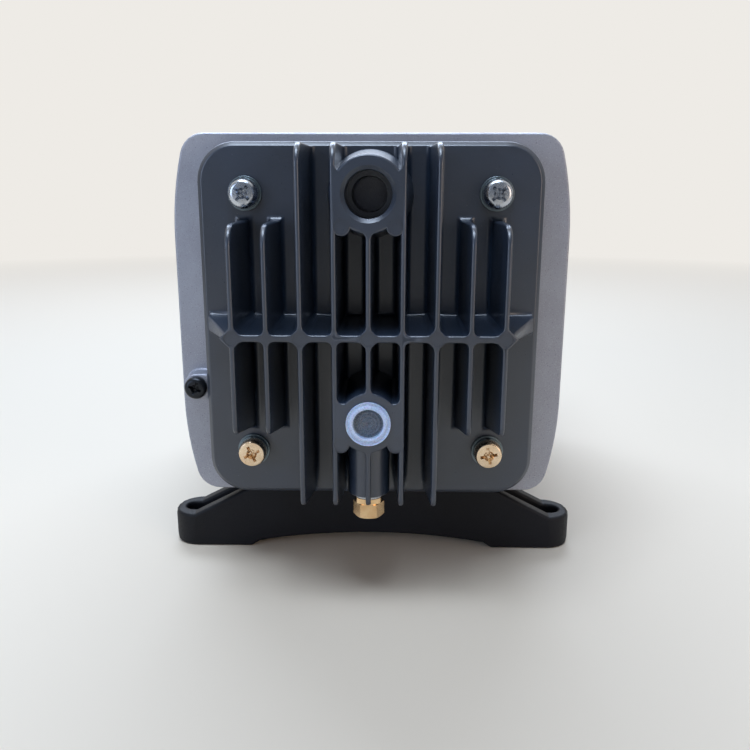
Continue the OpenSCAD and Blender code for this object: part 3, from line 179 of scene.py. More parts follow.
finishes = {
    # Die cast aluminium under a thin near-black coat: dark flats, cool light on every rounded edge
    "darkCoatedCasting": {"colour": "#253040", "tint": "#1d2633", "tintSize": 22, "grain": 0.55,
        "fleck": "#4c535f", "fleckSize": 0.5, "fleckFrom": 0.74, "rough": 0.33, "roughSpread": 0.06,
        "bump": 0.22, "relief": 0.04, "Specular IOR Level": 0.95},
    # Bare die cast aluminium, blasted: mid grey with a fine sparkle and dark specks
    "blastedCasting": {"colour": "#a2a4ad", "tint": "#999aa3", "tintSize": 14, "grain": 0.45,
        "fleck": "#b2b4ba", "fleckSize": 0.38, "fleckFrom": 0.6, "pit": "#76757b", "pitSize": 0.4,
        "pitFrom": 0.62, "rough": 0.42, "roughSpread": 0.08, "bump": 0.4, "relief": 0.05, "metallic": 0.45},
    # Moulded black rubber: matt, with a faint bloom and a few dust specks
    "mouldedRubber": {"colour": "#08090e", "tint": "#0c0e15", "tintSize": 18, "grain": 0.6,
        "fleck": "#2a2f3a", "fleckSize": 0.45, "fleckFrom": 0.78, "rough": 0.55, "roughSpread": 0.08,
        "bump": 0.3, "relief": 0.05, "Specular IOR Level": 0.25},
    # Clear zinc plate on steel: bright and slightly blue
    "clearZinc": {"colour": "#c3c8ce", "tint": "#b0b6bf", "tintSize": 3.5, "grain": 0.3,
        "rough": 0.25, "roughSpread": 0.06, "bump": 0.06, "relief": 0.02, "metallic": 1.0},
    # Zinc plate gone dull: blue-green grey, as on the washers
    "dullZinc": {"colour": "#7f8b90", "tint": "#6b777c", "tintSize": 3.0, "grain": 0.3,
        "rough": 0.36, "roughSpread": 0.07, "bump": 0.1, "relief": 0.02, "metallic": 1.0},
    # Yellow passivated zinc: the same steel with a warm film
    "yellowZinc": {"colour": "#f0dabc", "tint": "#dfc3a2", "tintSize": 3.5, "grain": 0.3,
        "rough": 0.24, "roughSpread": 0.06, "bump": 0.06, "relief": 0.02, "metallic": 1.0},
    # Turned brass, pale
    "turnedBrass": {"colour": "#efcfa2", "tint": "#e0b887", "tintSize": 3.0, "grain": 0.3,
        "rough": 0.19, "roughSpread": 0.06, "bump": 0.08, "relief": 0.02, "metallic": 1.0},
    # Black zinc on steel
    "blackZinc": {"colour": "#26282b", "tint": "#303236", "tintSize": 3.0, "grain": 0.3,
        "rough": 0.32, "roughSpread": 0.07, "bump": 0.12, "relief": 0.02, "metallic": 0.8},
    # Polyethylene moulding: milky, soft light inside it; the darker middle disc is painted shade of the bore
    # behind the floor
    "milkyPolyethylene": {"colour": "#c6d8f4", "tint": "#b4c8e8", "tintSize": 6.0, "grain": 0.4,
        "disc": "#5c6878", "discCentre": (0, 0, 0.0596), "discRadius": 4.5, "rough": 0.28,
        "roughSpread": 0.04, "bump": 0.05, "relief": 0.02, "Transmission Weight": 0.12,
        "Subsurface Weight": 0.3, "Subsurface Scale": 0.003, "IOR": 1.5},
    # Moulded black polyamide of the gland and the rectifier's case
    "blackPolyamide": {"colour": "#191a1d", "tint": "#202125", "tintSize": 8.0, "grain": 0.4,
        "rough": 0.45, "roughSpread": 0.07, "bump": 0.15, "relief": 0.02},
    # Ground and turned steel
    "turnedSteel": {"colour": "#a9abae", "tint": "#9a9da2", "tintSize": 5.0, "grain": 0.3,
        "rough": 0.3, "roughSpread": 0.07, "bump": 0.1, "relief": 0.02, "metallic": 1.0},
    # Steel of the valve plate, near black as painted shade of the deep port bore in front of it
    "boreShadeSteel": {"colour": "#141518", "tint": "#1a1b1e", "tintSize": 6.0, "grain": 0.3,
        "rough": 0.55, "roughSpread": 0.07, "bump": 0.1, "relief": 0.02, "Specular IOR Level": 0.3},
    # Fibre sheet of the gaskets
    "gasketFibre": {"colour": "#5d615d", "tint": "#52554f", "tintSize": 3.0, "grain": 0.4,
        "rough": 0.8, "roughSpread": 0.08, "bump": 0.5, "relief": 0.05},
    # Moulded nylon
    "mouldedNylon": {"colour": "#e6e0d0", "tint": "#dcd4c0", "tintSize": 8.0, "grain": 0.4,
        "rough": 0.42, "roughSpread": 0.06, "bump": 0.1, "relief": 0.02, "Subsurface Weight": 0.08,
        "Subsurface Scale": 0.002},
    # Filled PTFE of the rings
    "filledPtfe": {"colour": "#2c2b29", "tint": "#353330", "tintSize": 4.0, "grain": 0.3,
        "rough": 0.5, "roughSpread": 0.06, "bump": 0.1, "relief": 0.02},
    # Stacked electrical sheet: fine bands across the axis, drawn coarser than the real sheets
    "stackedSheet": {"colour": "#6f7276", "tint": "#5f6266", "tintSize": 1.2, "grain": 0.5,
        "stretch": (0.05, 1, 0.05), "rough": 0.48, "roughSpread": 0.08, "bump": 0.5, "relief": 0.08,
        "metallic": 0.8},
    # Enamelled copper wire, wound
    "woundCopper": {"colour": "#b5713c", "tint": "#8f5428", "tintSize": 0.9, "grain": 0.8,
        "stretch": (0.05, 0.05, 1), "rough": 0.34, "roughSpread": 0.08, "bump": 0.9, "relief": 0.25,
        "metallic": 0.9},
    # Brushed aluminium sheet of the bare plate
    "brushedSheet": {"colour": "#cfd0cf", "tint": "#c2c3c4", "tintSize": 2.0, "grain": 0.3,
        "stretch": (0.04, 1, 1), "rough": 0.3, "roughSpread": 0.08, "bump": 0.2, "relief": 0.02,
        "metallic": 1.0},
}
materials = {name: surface(name, look) for name, look in finishes.items()}
print("materials made:", len(materials))


# ---- modelling helpers
weld = 0.0005        # vertices closer than this become one
cadWeld = 0.003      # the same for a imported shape
hair = 0.01          # room for telling which vertices lie in a plane
over = 1             # how far outside a piece a cut starts
flatAngle = 0.4      # degrees: faces that meet flatter than this are joined
cadFlatAngle = 0.5
softEdge = {"segments": 2, "from": 32}   # broken edges: segments, and the least angle in degrees


def flatFace(bm, corners, radii=None, segments=6):
    # a face from a few corners, each rounded by its radius
    verts = [bm.verts.new(c) for c in corners]
    face = bm.faces.new(verts)
    for i, radius in enumerate(radii or []):
        if radius:
            here, before, after = (Vector(corners[j % len(corners)]) for j in (i, i - 1, i + 1))
            half = (before - here).angle(after - here) / 2
            bmesh.ops.bevel(bm, geom=[verts[i]], offset=radius / math.tan(half), segments=segments,
                profile=0.5, affect="VERTICES", material=-1)
    return list(bm.faces)[-1] if radii else face


def pull(bm, face, move):
    # extrudes a face and returns the moved vertices and the new face
    inside = any(len(e.link_faces) > 1 for e in face.edges)
    result = bmesh.ops.extrude_face_region(bm, geom=[face])["geom"]
    if inside:
        bmesh.ops.delete(bm, geom=[face], context="FACES_ONLY")
    verts = [g for g in result if isinstance(g, bmesh.types.BMVert)]
    newFace = next(g for g in result if isinstance(g, bmesh.types.BMFace))
    bmesh.ops.translate(bm, vec=move, verts=verts)
    return verts, newFace


def roundEdges(bm, radius, pick, segments=3):
    edges = [e for e in bm.edges if pick(e.verts[0].co, e.verts[1].co)]
    bmesh.ops.bevel(bm, geom=edges, offset=radius, segments=segments, profile=0.5, affect="EDGES",
        material=-1, clamp_overlap=True)


def barAlong(centre, length, r1, r2, axis="Y", segments=64):
    # a closed cone or cylinder whose r1 end is at centre
    bm = bmesh.new()
    bmesh.ops.create_cone(bm, cap_ends=True, cap_tris=False, segments=segments, radius1=r1, radius2=r2,
        depth=length)
    bmesh.ops.translate(bm, vec=(0, 0, length / 2), verts=bm.verts)
    if axis == "Y":
        bmesh.ops.rotate(bm, cent=(0, 0, 0), matrix=Matrix.Rotation(-math.pi / 2, 3, "X"), verts=bm.verts)
    if axis == "X":
        bmesh.ops.rotate(bm, cent=(0, 0, 0), matrix=Matrix.Rotation(math.pi / 2, 3, "Y"), verts=bm.verts)
    bmesh.ops.translate(bm, vec=centre, verts=bm.verts)
    return bm


def boxBetween(low, high):
    bm = bmesh.new()
    bmesh.ops.create_cube(bm, size=1)
    for v in bm.verts:
        v.co = [high[i] if v.co[i] > 0 else low[i] for i in range(3)]
    return bm


def tempObject(bm):
    bmesh.ops.recalc_face_normals(bm, faces=bm.faces)
    mesh = bpy.data.meshes.new("work")
    bm.to_mesh(mesh)
    bm.free()
    thing = bpy.data.objects.new("work", mesh)
    bpy.context.scene.collection.objects.link(thing)
    return thing


def turned(profile, centre, axis="Y", steps=64):
    # spins a profile of (radius, distance) points about an axis through centre
    bm = bmesh.new()
    verts = [bm.verts.new((r, d, 0)) for r, d in profile]
    edges = [bm.edges.new(pair) for pair in zip(verts, verts[1:])]
    bmesh.ops.spin(bm, geom=verts + edges, cent=(0, 0, 0), axis=(0, 1, 0), angle=2 * math.pi, steps=steps,
        use_merge=True)
    bmesh.ops.remove_doubles(bm, verts=bm.verts, dist=weld)
    if axis == "Z":
        bmesh.ops.rotate(bm, cent=(0, 0, 0), matrix=Matrix.Rotation(math.pi / 2, 3, "X"), verts=bm.verts)
    bmesh.ops.translate(bm, vec=centre, verts=bm.verts)
    bmesh.ops.recalc_face_normals(bm, faces=bm.faces)
    return bm


def joined(shells):
    # puts separate closed shells into one bmesh
    bm = bmesh.new()
    for shell in shells:
        mesh = bpy.data.meshes.new("part")
        shell.to_mesh(mesh)
        shell.free()
        bm.from_mesh(mesh)
        bpy.data.meshes.remove(mesh)
    return bm


def combined(base, adds=(), cuts=(), commons=()):
    # unions, then cuts, and returns one clean bmesh
    target = tempObject(base)
    made = [target]
    for operation, shells in (("UNION", adds), ("DIFFERENCE", cuts), ("INTERSECT", commons)):
        for shell in shells:
            other = tempObject(shell)
            made.append(other)
            step = target.modifiers.new(operation, "BOOLEAN")
            step.operation, step.object, step.solver = operation, other, "MANIFOLD"
    bpy.context.view_layer.update()
    ready = target.evaluated_get(bpy.context.evaluated_depsgraph_get())
    mesh = bpy.data.meshes.new_from_object(ready)
    bm = bmesh.new()
    bm.from_mesh(mesh)
    for thing in made:
        bpy.data.objects.remove(thing)
    bmesh.ops.remove_doubles(bm, verts=bm.verts, dist=weld)
    bmesh.ops.dissolve_limit(bm, angle_limit=math.radians(flatAngle), verts=bm.verts, edges=bm.edges)
    return bm


def finishPiece(name, bm, material, body, replaced=(), sharp=38, inMetres=False, rounding=0):
    # writes the mesh, shades it and hands it to the frame; rounding breaks every edge by that radius
    if not inMetres:
        bmesh.ops.scale(bm, vec=(mm, mm, mm), verts=bm.verts)
    limit = math.radians(sharp)
    for face in bm.faces:
        face.smooth = True
    for edge in bm.edges:
        edge.smooth = len(edge.link_faces) == 2 and (rounding > 0 or edge.calc_face_angle(0) < limit)
    mesh = bpy.data.meshes.new(name)
    bm.to_mesh(mesh)
    bm.free()
    mesh.materials.append(materials[material])
    piece = bpy.data.objects.new(name, mesh)
    bpy.context.scene.collection.objects.link(piece)
    if rounding:
        soft = piece.modifiers.new("brokenEdges", "BEVEL")
        soft.width, soft.segments = rounding * mm, softEdge["segments"]
        soft.angle_limit = math.radians(softEdge["from"])
        soft.use_clamp_overlap = False
    steady = piece.modifiers.new("steadyNormals", "WEIGHTED_NORMAL")
    steady.keep_sharp = True
    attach(piece, body)
    if replaced:
        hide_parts(*replaced)
    return piece


def cadPiece(name, node, material, body, rounding, sharp=38):
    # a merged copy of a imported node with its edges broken; the node's own mesh is left alone
    bm = bmesh.new()
    bm.from_mesh(nodes[node].data)
    bmesh.ops.remove_doubles(bm, verts=bm.verts, dist=cadWeld * mm)
    bmesh.ops.dissolve_limit(bm, angle_limit=math.radians(cadFlatAngle), verts=bm.verts, edges=bm.edges)
    return finishPiece(name, bm, material, body, [node], sharp, True, rounding)


# ---- head cover: a plate, nine drafted fins, a cross rib and two port blocks, cast in one
head = {
    "width": 106.2, "low": 27.0, "high": 139.6, "front": -100.15, "plate": -73.15, "back": -63.15,
    "corner": 12.0, "chamfer": 1.3, "axis": 83.3, "rib": 84.4, "pitch": 9.7,
    "tip": 1.5, "root": 3.0, "fillet": 1.6, "edge": 0.6,
    "longSlope": 5.5, "longTopSlope": 0.3, "longTopRadius": 6.5, "longLowRadius": 2.5,
    "shortHalf": 33.1, "shortTopSlope": 0.4, "shortLowSlope": 5.8, "shortTopRadius": 6.5,
    "shortLowRadius": 3.0, "ribTip": 2.05, "ribRoot": 5.0, "lozenge": 3.5, "pad": 2.1, "padSink": 0.2,
    "upper": {"z": 124.2, "ring": 10.5, "flare": 2.7, "shelf": 6.0, "rise": 3.2, "padX": 7.4,
              "padZ": 8.7, "bore": 6.58, "inner": 5.2, "edge": 0.7, "lobe": 2.5},
    "lower": {"z": 59.6, "ring": 8.9, "flare": 1.0, "shelf": 5.9, "rise": 1.0, "padX": 8.0,
              "padZ": 6.7, "bore": 5.72, "inner": 4.2, "edge": 0.4, "lobe": 2.5},
    "threadLength": 14.0, "mouth": 1.1, "drain": 6.3, "drainSet": 7.5, "drainLow": 35.9,
    "drainCut": 6, "drainEdge": 0.5, "screwX": 38.3, "screwZ": 41.0, "screwHole": 2.75, "screwCut": 12,
    "innerStop": 5.8, "evenGusset": 2.4, "oddGusset": 1.4, "shelfGusset": 1.5, "gussetReach": 0.05,
    "gussetPick": 0.04, "gussetSink": 0.3, "gussetEdge": 0.35, "gussetOverlap": 0.2, "plateSink": 0.5,
    "blockFall": 1, "shelfEdge": 0.5, "lobeFlare": 0.6, "lobeEdge": 0.4, "lozengeFlare": 1,
    "lozengeEdge": 0.4, "chamferEdge": 0.3,
    "chamberWidth": 52.0, "chamberDepth": 6.0, "chamberCorner": 6.0, "chamberRib": 1.7, "chamberOver": 8.0,
}
finDepth = head["plate"] - head["front"]


def flareRoot(bm, radius, spreadX, spreadZ, centre, steps=5):
    # carries a root face on to the plate through a concave fillet, then a little into the plate
    face = max(bm.faces, key=lambda f: f.calc_center_median().y)
    before = 0.0
    for i in range(1, steps + 1):
        angle = math.pi / 2 * i / steps
        rise = math.sin(angle) - math.sin(angle - math.pi / 2 / steps)
        verts, face = pull(bm, face, (0, radius * rise, 0))
        wide = radius * (1 - math.cos(angle)) - before
        before += wide
        for v in verts:
            v.co.x += math.copysign(wide, v.co.x - centre[0]) * spreadX
            v.co.z += math.copysign(wide, v.co.z - centre[1]) * spreadZ
    pull(bm, face, (0, head["plateSink"], 0))


def finShell(x, low, high, slopeLow, slopeTop, radiusLow, radiusTop, ends):
    bm = bmesh.new()
    rootY = head["plate"] - head["fillet"]
    share = (rootY - head["front"]) / finDepth
    lowRoot, highRoot = low + slopeLow * (1 - share), high - slopeTop * (1 - share)
    half = head["tip"] / 2
    face = flatFace(bm, [(x - half, rootY, lowRoot), (x - half, head["front"], low + slopeLow),
        (x - half, head["front"], high - slopeTop), (x - half, rootY, highRoot)],
        [0, radiusLow, radiusTop, 0], 8)
    pull(bm, face, (2 * half, 0, 0))
    grow = (head["root"] - head["tip"]) / 2 / finDepth
    for v in bm.verts:
        v.co.x += math.copysign(grow * (v.co.y - head["front"]), v.co.x - x)
    rim = rootY - hair
    roundEdges(bm, head["edge"], lambda a, b: min(a.y, b.y) < rim and (a.x - x) * (b.x - x) > 0)
    flareRoot(bm, head["fillet"], 1, ends, (x, (low + high) / 2))
    return bm


def ribShell():
    rootY = head["plate"] - head["fillet"]
    share = (rootY - head["front"]) / finDepth
    frontX = 4 * head["pitch"] + head["tip"]
    rootX = frontX + (head["width"] / 2 - head["chamfer"] - frontX) * share
    rootZ = head["ribTip"] / 2 + (head["ribRoot"] - head["ribTip"]) / 2 * share
    bm = boxBetween((-1, head["front"], -1), (1, rootY, 1))
    for v in bm.verts:
        isFront = v.co.y < rootY - hair
        v.co.x = math.copysign(frontX if isFront else rootX, v.co.x)
        v.co.z = head["rib"] + math.copysign(head["ribTip"] / 2 if isFront else rootZ, v.co.z)
    rim = rootY - hair
    roundEdges(bm, head["edge"], lambda a, b: min(a.y, b.y) < rim)
    flareRoot(bm, head["fillet"], 0, 1, (0, head["rib"]))
    return bm


def cornerFillet(x, side, up, radius, level, climb):
    # fills the corner between a fin and what crosses it at a level, above it (up 1) or under it (up -1)
    bm = bmesh.new()
    cx, cz = x + side * head["tip"] / 2, level
    reach, sink = radius + head["gussetReach"], head["tip"] / 2
    corners = [(cx - side * sink, cz - up * sink), (cx + side * reach, cz - up * sink),
               (cx + side * reach, cz), (cx, cz), (cx, cz + up * reach), (cx - side * sink, cz + up * reach)]
    face = flatFace(bm, [(a, head["front"], b) for a, b in corners], [0, 0, 0, radius, 0, 0], 6)
    grow = (head["root"] - head["tip"]) / 2
    pull(bm, face, (side * grow, finDepth + head["gussetSink"], climb))
    middle = Vector((cx + side * radius, head["front"], cz + up * radius))
    near, rim = radius + head["gussetPick"], head["front"] + hair
    roundEdges(bm, head["gussetEdge"], lambda a, b: max((a - middle).length, (b - middle).length) < near
        and max(a.y, b.y) < rim)
    return bm


def frontRounded(bm, radius):
    rim = head["front"] + hair
    roundEdges(bm, radius, lambda a, b: max(a.y, b.y) < rim)
    return bm


def blockShells(port):
    z, front, depth = port["z"], head["front"], finDepth + head["plateSink"]
    shells = [frontRounded(barAlong((0, front, z), depth, port["ring"], port["ring"] + port["flare"]),
        port["edge"])]
    bm = bmesh.new()
    half = head["pitch"]
    low, shelf = z - port["padZ"], z + port["shelf"]
    face = flatFace(bm, [(-half, front, low), (-half, front, shelf),
        (-half, front + depth, shelf + port["rise"]), (-half, front + depth, low - head["blockFall"])])
    pull(bm, face, (2 * half, 0, 0))
    rim = front + hair
    roundEdges(bm, head["shelfEdge"], lambda a, b: max(a.y, b.y) < rim and min(a.z, b.z) > z)
    shells.append(bm)
    for side in (-1, 1):
        shells.append(frontRounded(barAlong((side * port["padX"], front, low), depth, port["lobe"],
            port["lobe"] + head["lobeFlare"], segments=32), head["lobeEdge"]))
    return shells


def plateShell():
    bm = bmesh.new()
    half, low, high = head["width"] / 2, head["low"], head["high"]
    face = flatFace(bm, [(-half, head["plate"], low), (half, head["plate"], low), (half, head["plate"], high),
        (-half, head["plate"], high)], [head["corner"]] * 4, 12)
    pull(bm, face, (0, head["back"] - head["plate"], 0))
    rim = head["plate"] + hair
    roundEdges(bm, head["chamfer"], lambda a, b: max(a.y, b.y) < rim, 1)
    near = head["plate"] + head["chamfer"] + hair
    roundEdges(bm, head["chamferEdge"], lambda a, b: abs(a.y - b.y) < hair and a.y < near, 2)
    return bm


def diamond(x):
    bm = barAlong((x, head["front"], head["rib"]), finDepth + head["plateSink"], head["lozenge"],
        head["lozenge"] + head["lozengeFlare"], segments=4)
    return frontRounded(bm, head["lozengeEdge"])


def headCover():
    long = (head["low"] + head["chamfer"], head["high"] - head["chamfer"], head["longSlope"],
        head["longTopSlope"], head["longLowRadius"], head["longTopRadius"], 0)
    short = (head["axis"] - head["shortHalf"], head["axis"] + head["shortHalf"], head["shortLowSlope"],
        head["shortTopSlope"], head["shortLowRadius"], head["shortTopRadius"], 1)
    adds = [finShell(k * head["pitch"], *long) for k in (-2, -1, 1, 2)]
    adds += [finShell(k * head["pitch"], *short) for k in (-4, -3, 3, 4)]
    adds.append(finShell(0, long[0], head["upper"]["z"], head["longSlope"], 0, head["longLowRadius"], 0, 0))
    adds.append(ribShell())
    adds += [diamond(k * head["pitch"]) for k in (-4, -2, 0, 2, 4)]
    for k in range(-4, 5):
        for side in (-1, 1):
            if abs(k + side) < 5:
                radius = head["evenGusset"] if k % 2 == 0 else head["oddGusset"]
                adds += [cornerFillet(k * head["pitch"], side, up, radius,
                    head["rib"] + up * head["ribTip"] / 2, up * (head["ribRoot"] - head["ribTip"]) / 2)
                    for up in (-1, 1)]
    for side in (-1, 1):
        for port, ways in ((head["upper"], (-1,)), (head["lower"], (-1, 1))):
            adds.append(cornerFillet(-side * head["pitch"], side, 1, head["shelfGusset"],
                port["z"] + port["shelf"], port["rise"]))
            reach = port["ring"] - head["gussetOverlap"]
            adds += [cornerFillet(0, side, up, head["shelfGusset"], port["z"] + up * reach, 0) for up in ways]
    adds += blockShells(head["upper"]) + blockShells(head["lower"])
    drainY = head["front"] + head["drainSet"]
    column = barAlong((0, drainY, head["drainLow"]), head["lower"]["z"] - head["drainLow"], head["drain"],
        head["drain"], "Z")
    roundEdges(column, head["drainEdge"], lambda a, b: max(a.z, b.z) < head["drainLow"] + hair)
    adds += [column, boxBetween((-head["drain"], drainY, head["drainLow"]),
        (head["drain"], head["plate"] + head["plateSink"], head["lower"]["z"]))]
    cuts = []
    for port in (head["upper"], head["lower"]):
        z, front, bore = port["z"], head["front"], port["bore"]
        cuts.append(barAlong((0, front - over, z), over + head["threadLength"], bore, bore))
        cuts.append(barAlong((0, front, z), head["back"] - front - head["innerStop"], port["inner"],
            port["inner"]))
    upper = head["upper"]
    cuts.append(barAlong((0, head["front"] - over, upper["z"]), over + head["mouth"],
        upper["bore"] + head["mouth"] + over, upper["bore"]))
    cuts.append(barAlong((0, drainY, head["low"] - over), head["drainLow"] - head["low"] + over,
        head["drainCut"], head["drainCut"], "Z"))
    pads = [(k * head["pitch"], head["rib"]) for k in (-4, -2, 0, 2, 4)]
    for port in (head["upper"], head["lower"]):
        pads += [(s * port["padX"], port["z"] - port["padZ"]) for s in (-1, 1)]
    for x, z in pads:
        cuts.append(barAlong((x, head["front"] - over, z), over + head["padSink"], head["pad"], head["pad"],
            segments=32))
    for sx in (-1, 1):
        for sz in (-1, 1):
            place = (sx * head["screwX"], head["plate"] - over, head["axis"] + sz * head["screwZ"])
            cuts.append(barAlong(place, head["screwCut"], head["screwHole"], head["screwHole"], segments=32))
    for low, high in ((head["axis"] + head["chamberRib"], head["upper"]["z"] + head["chamberOver"]),
                      (head["lower"]["z"] - head["chamberOver"], head["axis"] - head["chamberRib"])):
        bm = bmesh.new()
        half, back = head["chamberWidth"] / 2, head["back"] - head["chamberDepth"]
        face = flatFace(bm, [(-half, back, low), (half, back, low), (half, back, high), (-half, back, high)],
            [head["chamberCorner"]] * 4)
        pull(bm, face, (0, head["chamberDepth"] + over, 0))
        cuts.append(bm)
    bm = combined(plateShell(), adds, cuts)
    return finishPiece("headCover", bm, "darkCoatedCasting", "frame", ["head_cover"])


headPiece = headCover()
print("head cover done:", len(headPiece.data.polygons), "faces")


# ---- screws: a turned pan head and shank, with a cross recess that narrows as it goes in. Cross,
# blade and well are shares of the head's radius; rim, floor, dome and the well's top are shares of its height
panScrew = {
    "cross": 0.78, "blade": 0.12, "narrow": 0.4, "thin": 0.75, "floor": 0.4, "rimShare": 0.36,
    "domeShare": 0.95, "domeSteps": 8, "well": 0.4, "wellTop": 1.15, "wellStart": 0.1, "wellTip": 0.3,
    "endChamfer": 0.4, "headEdge": 0.1,
}


def panScrewShell(place, turn, headRadius, headHeight, shankRadius, shankLength, dome):
    flat = panScrew["rimShare"] * headHeight
    chamfer, edge, steps = (panScrew[k] for k in ("endChamfer", "headEdge", "domeSteps"))
    profile = [(0, shankLength), (shankRadius - chamfer, shankLength), (shankRadius, shankLength - chamfer),
        (shankRadius, 0), (headRadius - edge, 0), (headRadius, -edge), (headRadius, -flat)]
    for step in range(1, steps + 1):
        angle = math.pi / 2 / steps * step
        profile.append((headRadius * (dome + (1 - dome) * math.cos(angle)),
            -flat - (headHeight * panScrew["domeShare"] - flat) * math.sin(angle)))
    profile.append((0, -headHeight))
    shell = turned(profile, (0, 0, 0), steps=48)
    blades = []
    for quarter in (0, 90):
        reach, half = panScrew["cross"] * headRadius, panScrew["blade"] * headRadius
        blade = boxBetween((-reach, -headHeight - over, -half),
            (reach, -headHeight * panScrew["floor"], half))
        for v in blade.verts:
            if v.co.y > -headHeight:
                v.co.x *= panScrew["narrow"]
                v.co.z *= panScrew["thin"]
        bmesh.ops.rotate(blade, cent=(0, 0, 0), matrix=Matrix.Rotation(math.radians(turn + quarter), 3, "Y"),
            verts=blade.verts)
        blades.append(blade)
    well = barAlong((0, -headHeight - panScrew["wellStart"], 0),
        headHeight * (panScrew["wellTop"] - panScrew["floor"]), panScrew["well"] * headRadius,
        panScrew["wellTip"], segments=24)
    shell = combined(shell, cuts=blades + [well])
    bmesh.ops.translate(shell, vec=place, verts=shell.verts)
    return shell


headScrews = {"under": -75.45, "headRadius": 4.5, "headHeight": 3.7, "shank": 2.5, "length": 23.1,
    "upperTurns": (40, 47), "lowerTurns": (65, 79), "upperDome": 0.62, "lowerDome": 0.84}
for name, finish, sz, turns, dome in (
        ("upperHeadScrews", "clearZinc", 1, headScrews["upperTurns"], headScrews["upperDome"]),
        ("lowerHeadScrews", "yellowZinc", -1, headScrews["lowerTurns"], headScrews["lowerDome"])):
    height = head["axis"] + sz * head["screwZ"]
    bm = joined([panScrewShell((sx * head["screwX"], headScrews["under"], height), turn,
        headScrews["headRadius"], headScrews["headHeight"], headScrews["shank"], headScrews["length"],
        dome) for sx, turn in zip((-1, 1), turns)])
    finishPiece(name, bm, finish, "frame", ["head_screws"], sharp=50)
cadPiece("headSpringWashers", "head_spring_washers", "dullZinc", "frame", 0.15)
cadPiece("headFlatWashers", "head_flat_washers", "dullZinc", "frame", 0.15)

earthScrew = {"x": -57.5, "z": 62.1, "under": -69.35, "headRadius": 3.7, "headHeight": 2.6, "shank": 2.0,
    "length": 14.0, "turn": 22, "dome": 0.6}
bm = panScrewShell((earthScrew["x"], earthScrew["under"], earthScrew["z"]), earthScrew["turn"],
    earthScrew["headRadius"], earthScrew["headHeight"], earthScrew["shank"], earthScrew["length"],
    earthScrew["dome"])
finishPiece("earthScrew", bm, "blackZinc", "frame", ["ground_screw"], sharp=50)
print("screws done")

# ---- port cap: a moulded plug with a thin outer rim, a raised band and a shallow ringed floor
capLook = {
    "z": 59.6, "front": -101.25, "flange": 6.52, "seat": 1.1, "rim": 0.22, "rimLow": 0.08, "groove": 0.3,
    "side": 0.1, "bandOut": 5.6, "bandEdge": 0.12, "outer": 5.66, "inner": 4.41, "recess": 1.6, "wall": 1.2,
    "end": -91.15, "endChamfer": (0.4, 0.6), "rimEdge": ((0, 0.15), (0.07, 0.04)),
    "innerEdge": ((0.3, 0), (0.1, 0.06), (0, 0.25)), "floorEdge": 0.25, "rings": (3.5, 2.5, 1.5),
    "ringHalf": 0.12, "dimple": (0.45, 0.3, 0.2),
}


def portCap():
    c = capLook
    front, seat, floor = c["front"], c["front"] + c["seat"], c["front"] + c["recess"]
    back = floor + c["wall"]
    side, half, groove, rim = c["side"], c["ringHalf"], front + c["groove"], c["flange"] - c["rim"]
    profile = [(0, back), (c["inner"], back), (c["inner"], c["end"]),
        (c["outer"] - c["endChamfer"][0], c["end"]), (c["outer"], c["end"] - c["endChamfer"][1]),
        (c["outer"], seat), (c["flange"] - side, seat), (c["flange"], seat - side)]
    profile += [(c["flange"] - inward, front + deep) for inward, deep in c["rimEdge"]]
    profile += [(rim, front + c["rimLow"]), (rim - side, groove), (c["bandOut"] + side, groove),
        (c["bandOut"], front + c["bandEdge"]), (c["bandOut"] - c["bandEdge"], front)]
    profile += [(c["inner"] + outward, front + deep) for outward, deep in c["innerEdge"]]
    profile += [(c["inner"], floor - c["floorEdge"]), (c["inner"] - c["floorEdge"], floor)]
    for radius in c["rings"]:
        profile += [(radius + half, floor), (radius, floor - half), (radius - half, floor - half),
            (radius - 2 * half, floor)]
    wide, narrow, deep = c["dimple"]
    profile += [(wide, floor), (narrow, floor + deep), (0, floor + deep)]
    return finishPiece("portCap", turned(profile, (0, 0, c["z"]), steps=72), "milkyPolyethylene", "cap",
        ["port_cap"], sharp=50)


portCap()

# ---- drain plug: a chamfered hexagon, a collar and the thread's outside
plug = {
    "y": -92.65, "seat": 34.6, "flats": 8.3, "hex": 4.1, "hexOver": 0.3, "hexEdge": 0.15, "facing": 0.7,
    "facingIn": 0.15, "collar": 4.2, "collarHeight": 2.2, "collarTop": 0.2, "collarLow": 0.3,
    "thread": 3.0, "threadLength": 11.3, "threadChamfer": 0.5,
}


def drainPlug():
    low = plug["seat"] - plug["collarHeight"] - plug["hex"]
    corner = plug["flats"] / 2 / math.cos(math.pi / 6)
    hexagon = barAlong((0, plug["y"], low), plug["hex"] + plug["hexOver"], corner, corner, "Z", 6)
    bmesh.ops.rotate(hexagon, cent=(0, plug["y"], 0), matrix=Matrix.Rotation(math.pi / 6, 3, "Z"),
        verts=hexagon.verts)
    wide, high = corner + over, plug["hex"] + over
    facing = turned([(0, high), (wide, high), (wide, plug["facing"]),
        (plug["flats"] / 2 - plug["facingIn"], 0), (0, 0)], (0, plug["y"], low), "Z")
    hexagon = combined(hexagon, commons=[facing])
    roundEdges(hexagon, plug["hexEdge"], lambda a, b: abs(a.z - b.z) > 1)
    seat, thread, collar = plug["seat"], plug["thread"], plug["collar"]
    top, under, chamfer = seat + plug["threadLength"], seat - plug["collarHeight"], plug["threadChamfer"]
    body = turned([(0, top), (thread - chamfer, top), (thread, top - chamfer), (thread, seat),
        (collar - plug["collarTop"], seat), (collar, seat - plug["collarTop"]),
        (collar, under + plug["collarLow"]), (collar - plug["collarLow"], under), (0, under)],
        (0, plug["y"], 0), "Z")
    return finishPiece("drainPlug", combined(body, adds=[hexagon]), "turnedBrass", "frame", ["drain_plug"],
        sharp=30)


drainPlug()
cadPiece("drainWasher", "drain_washer", "clearZinc", "frame", 0.2)
print("port cap and drain plug done")

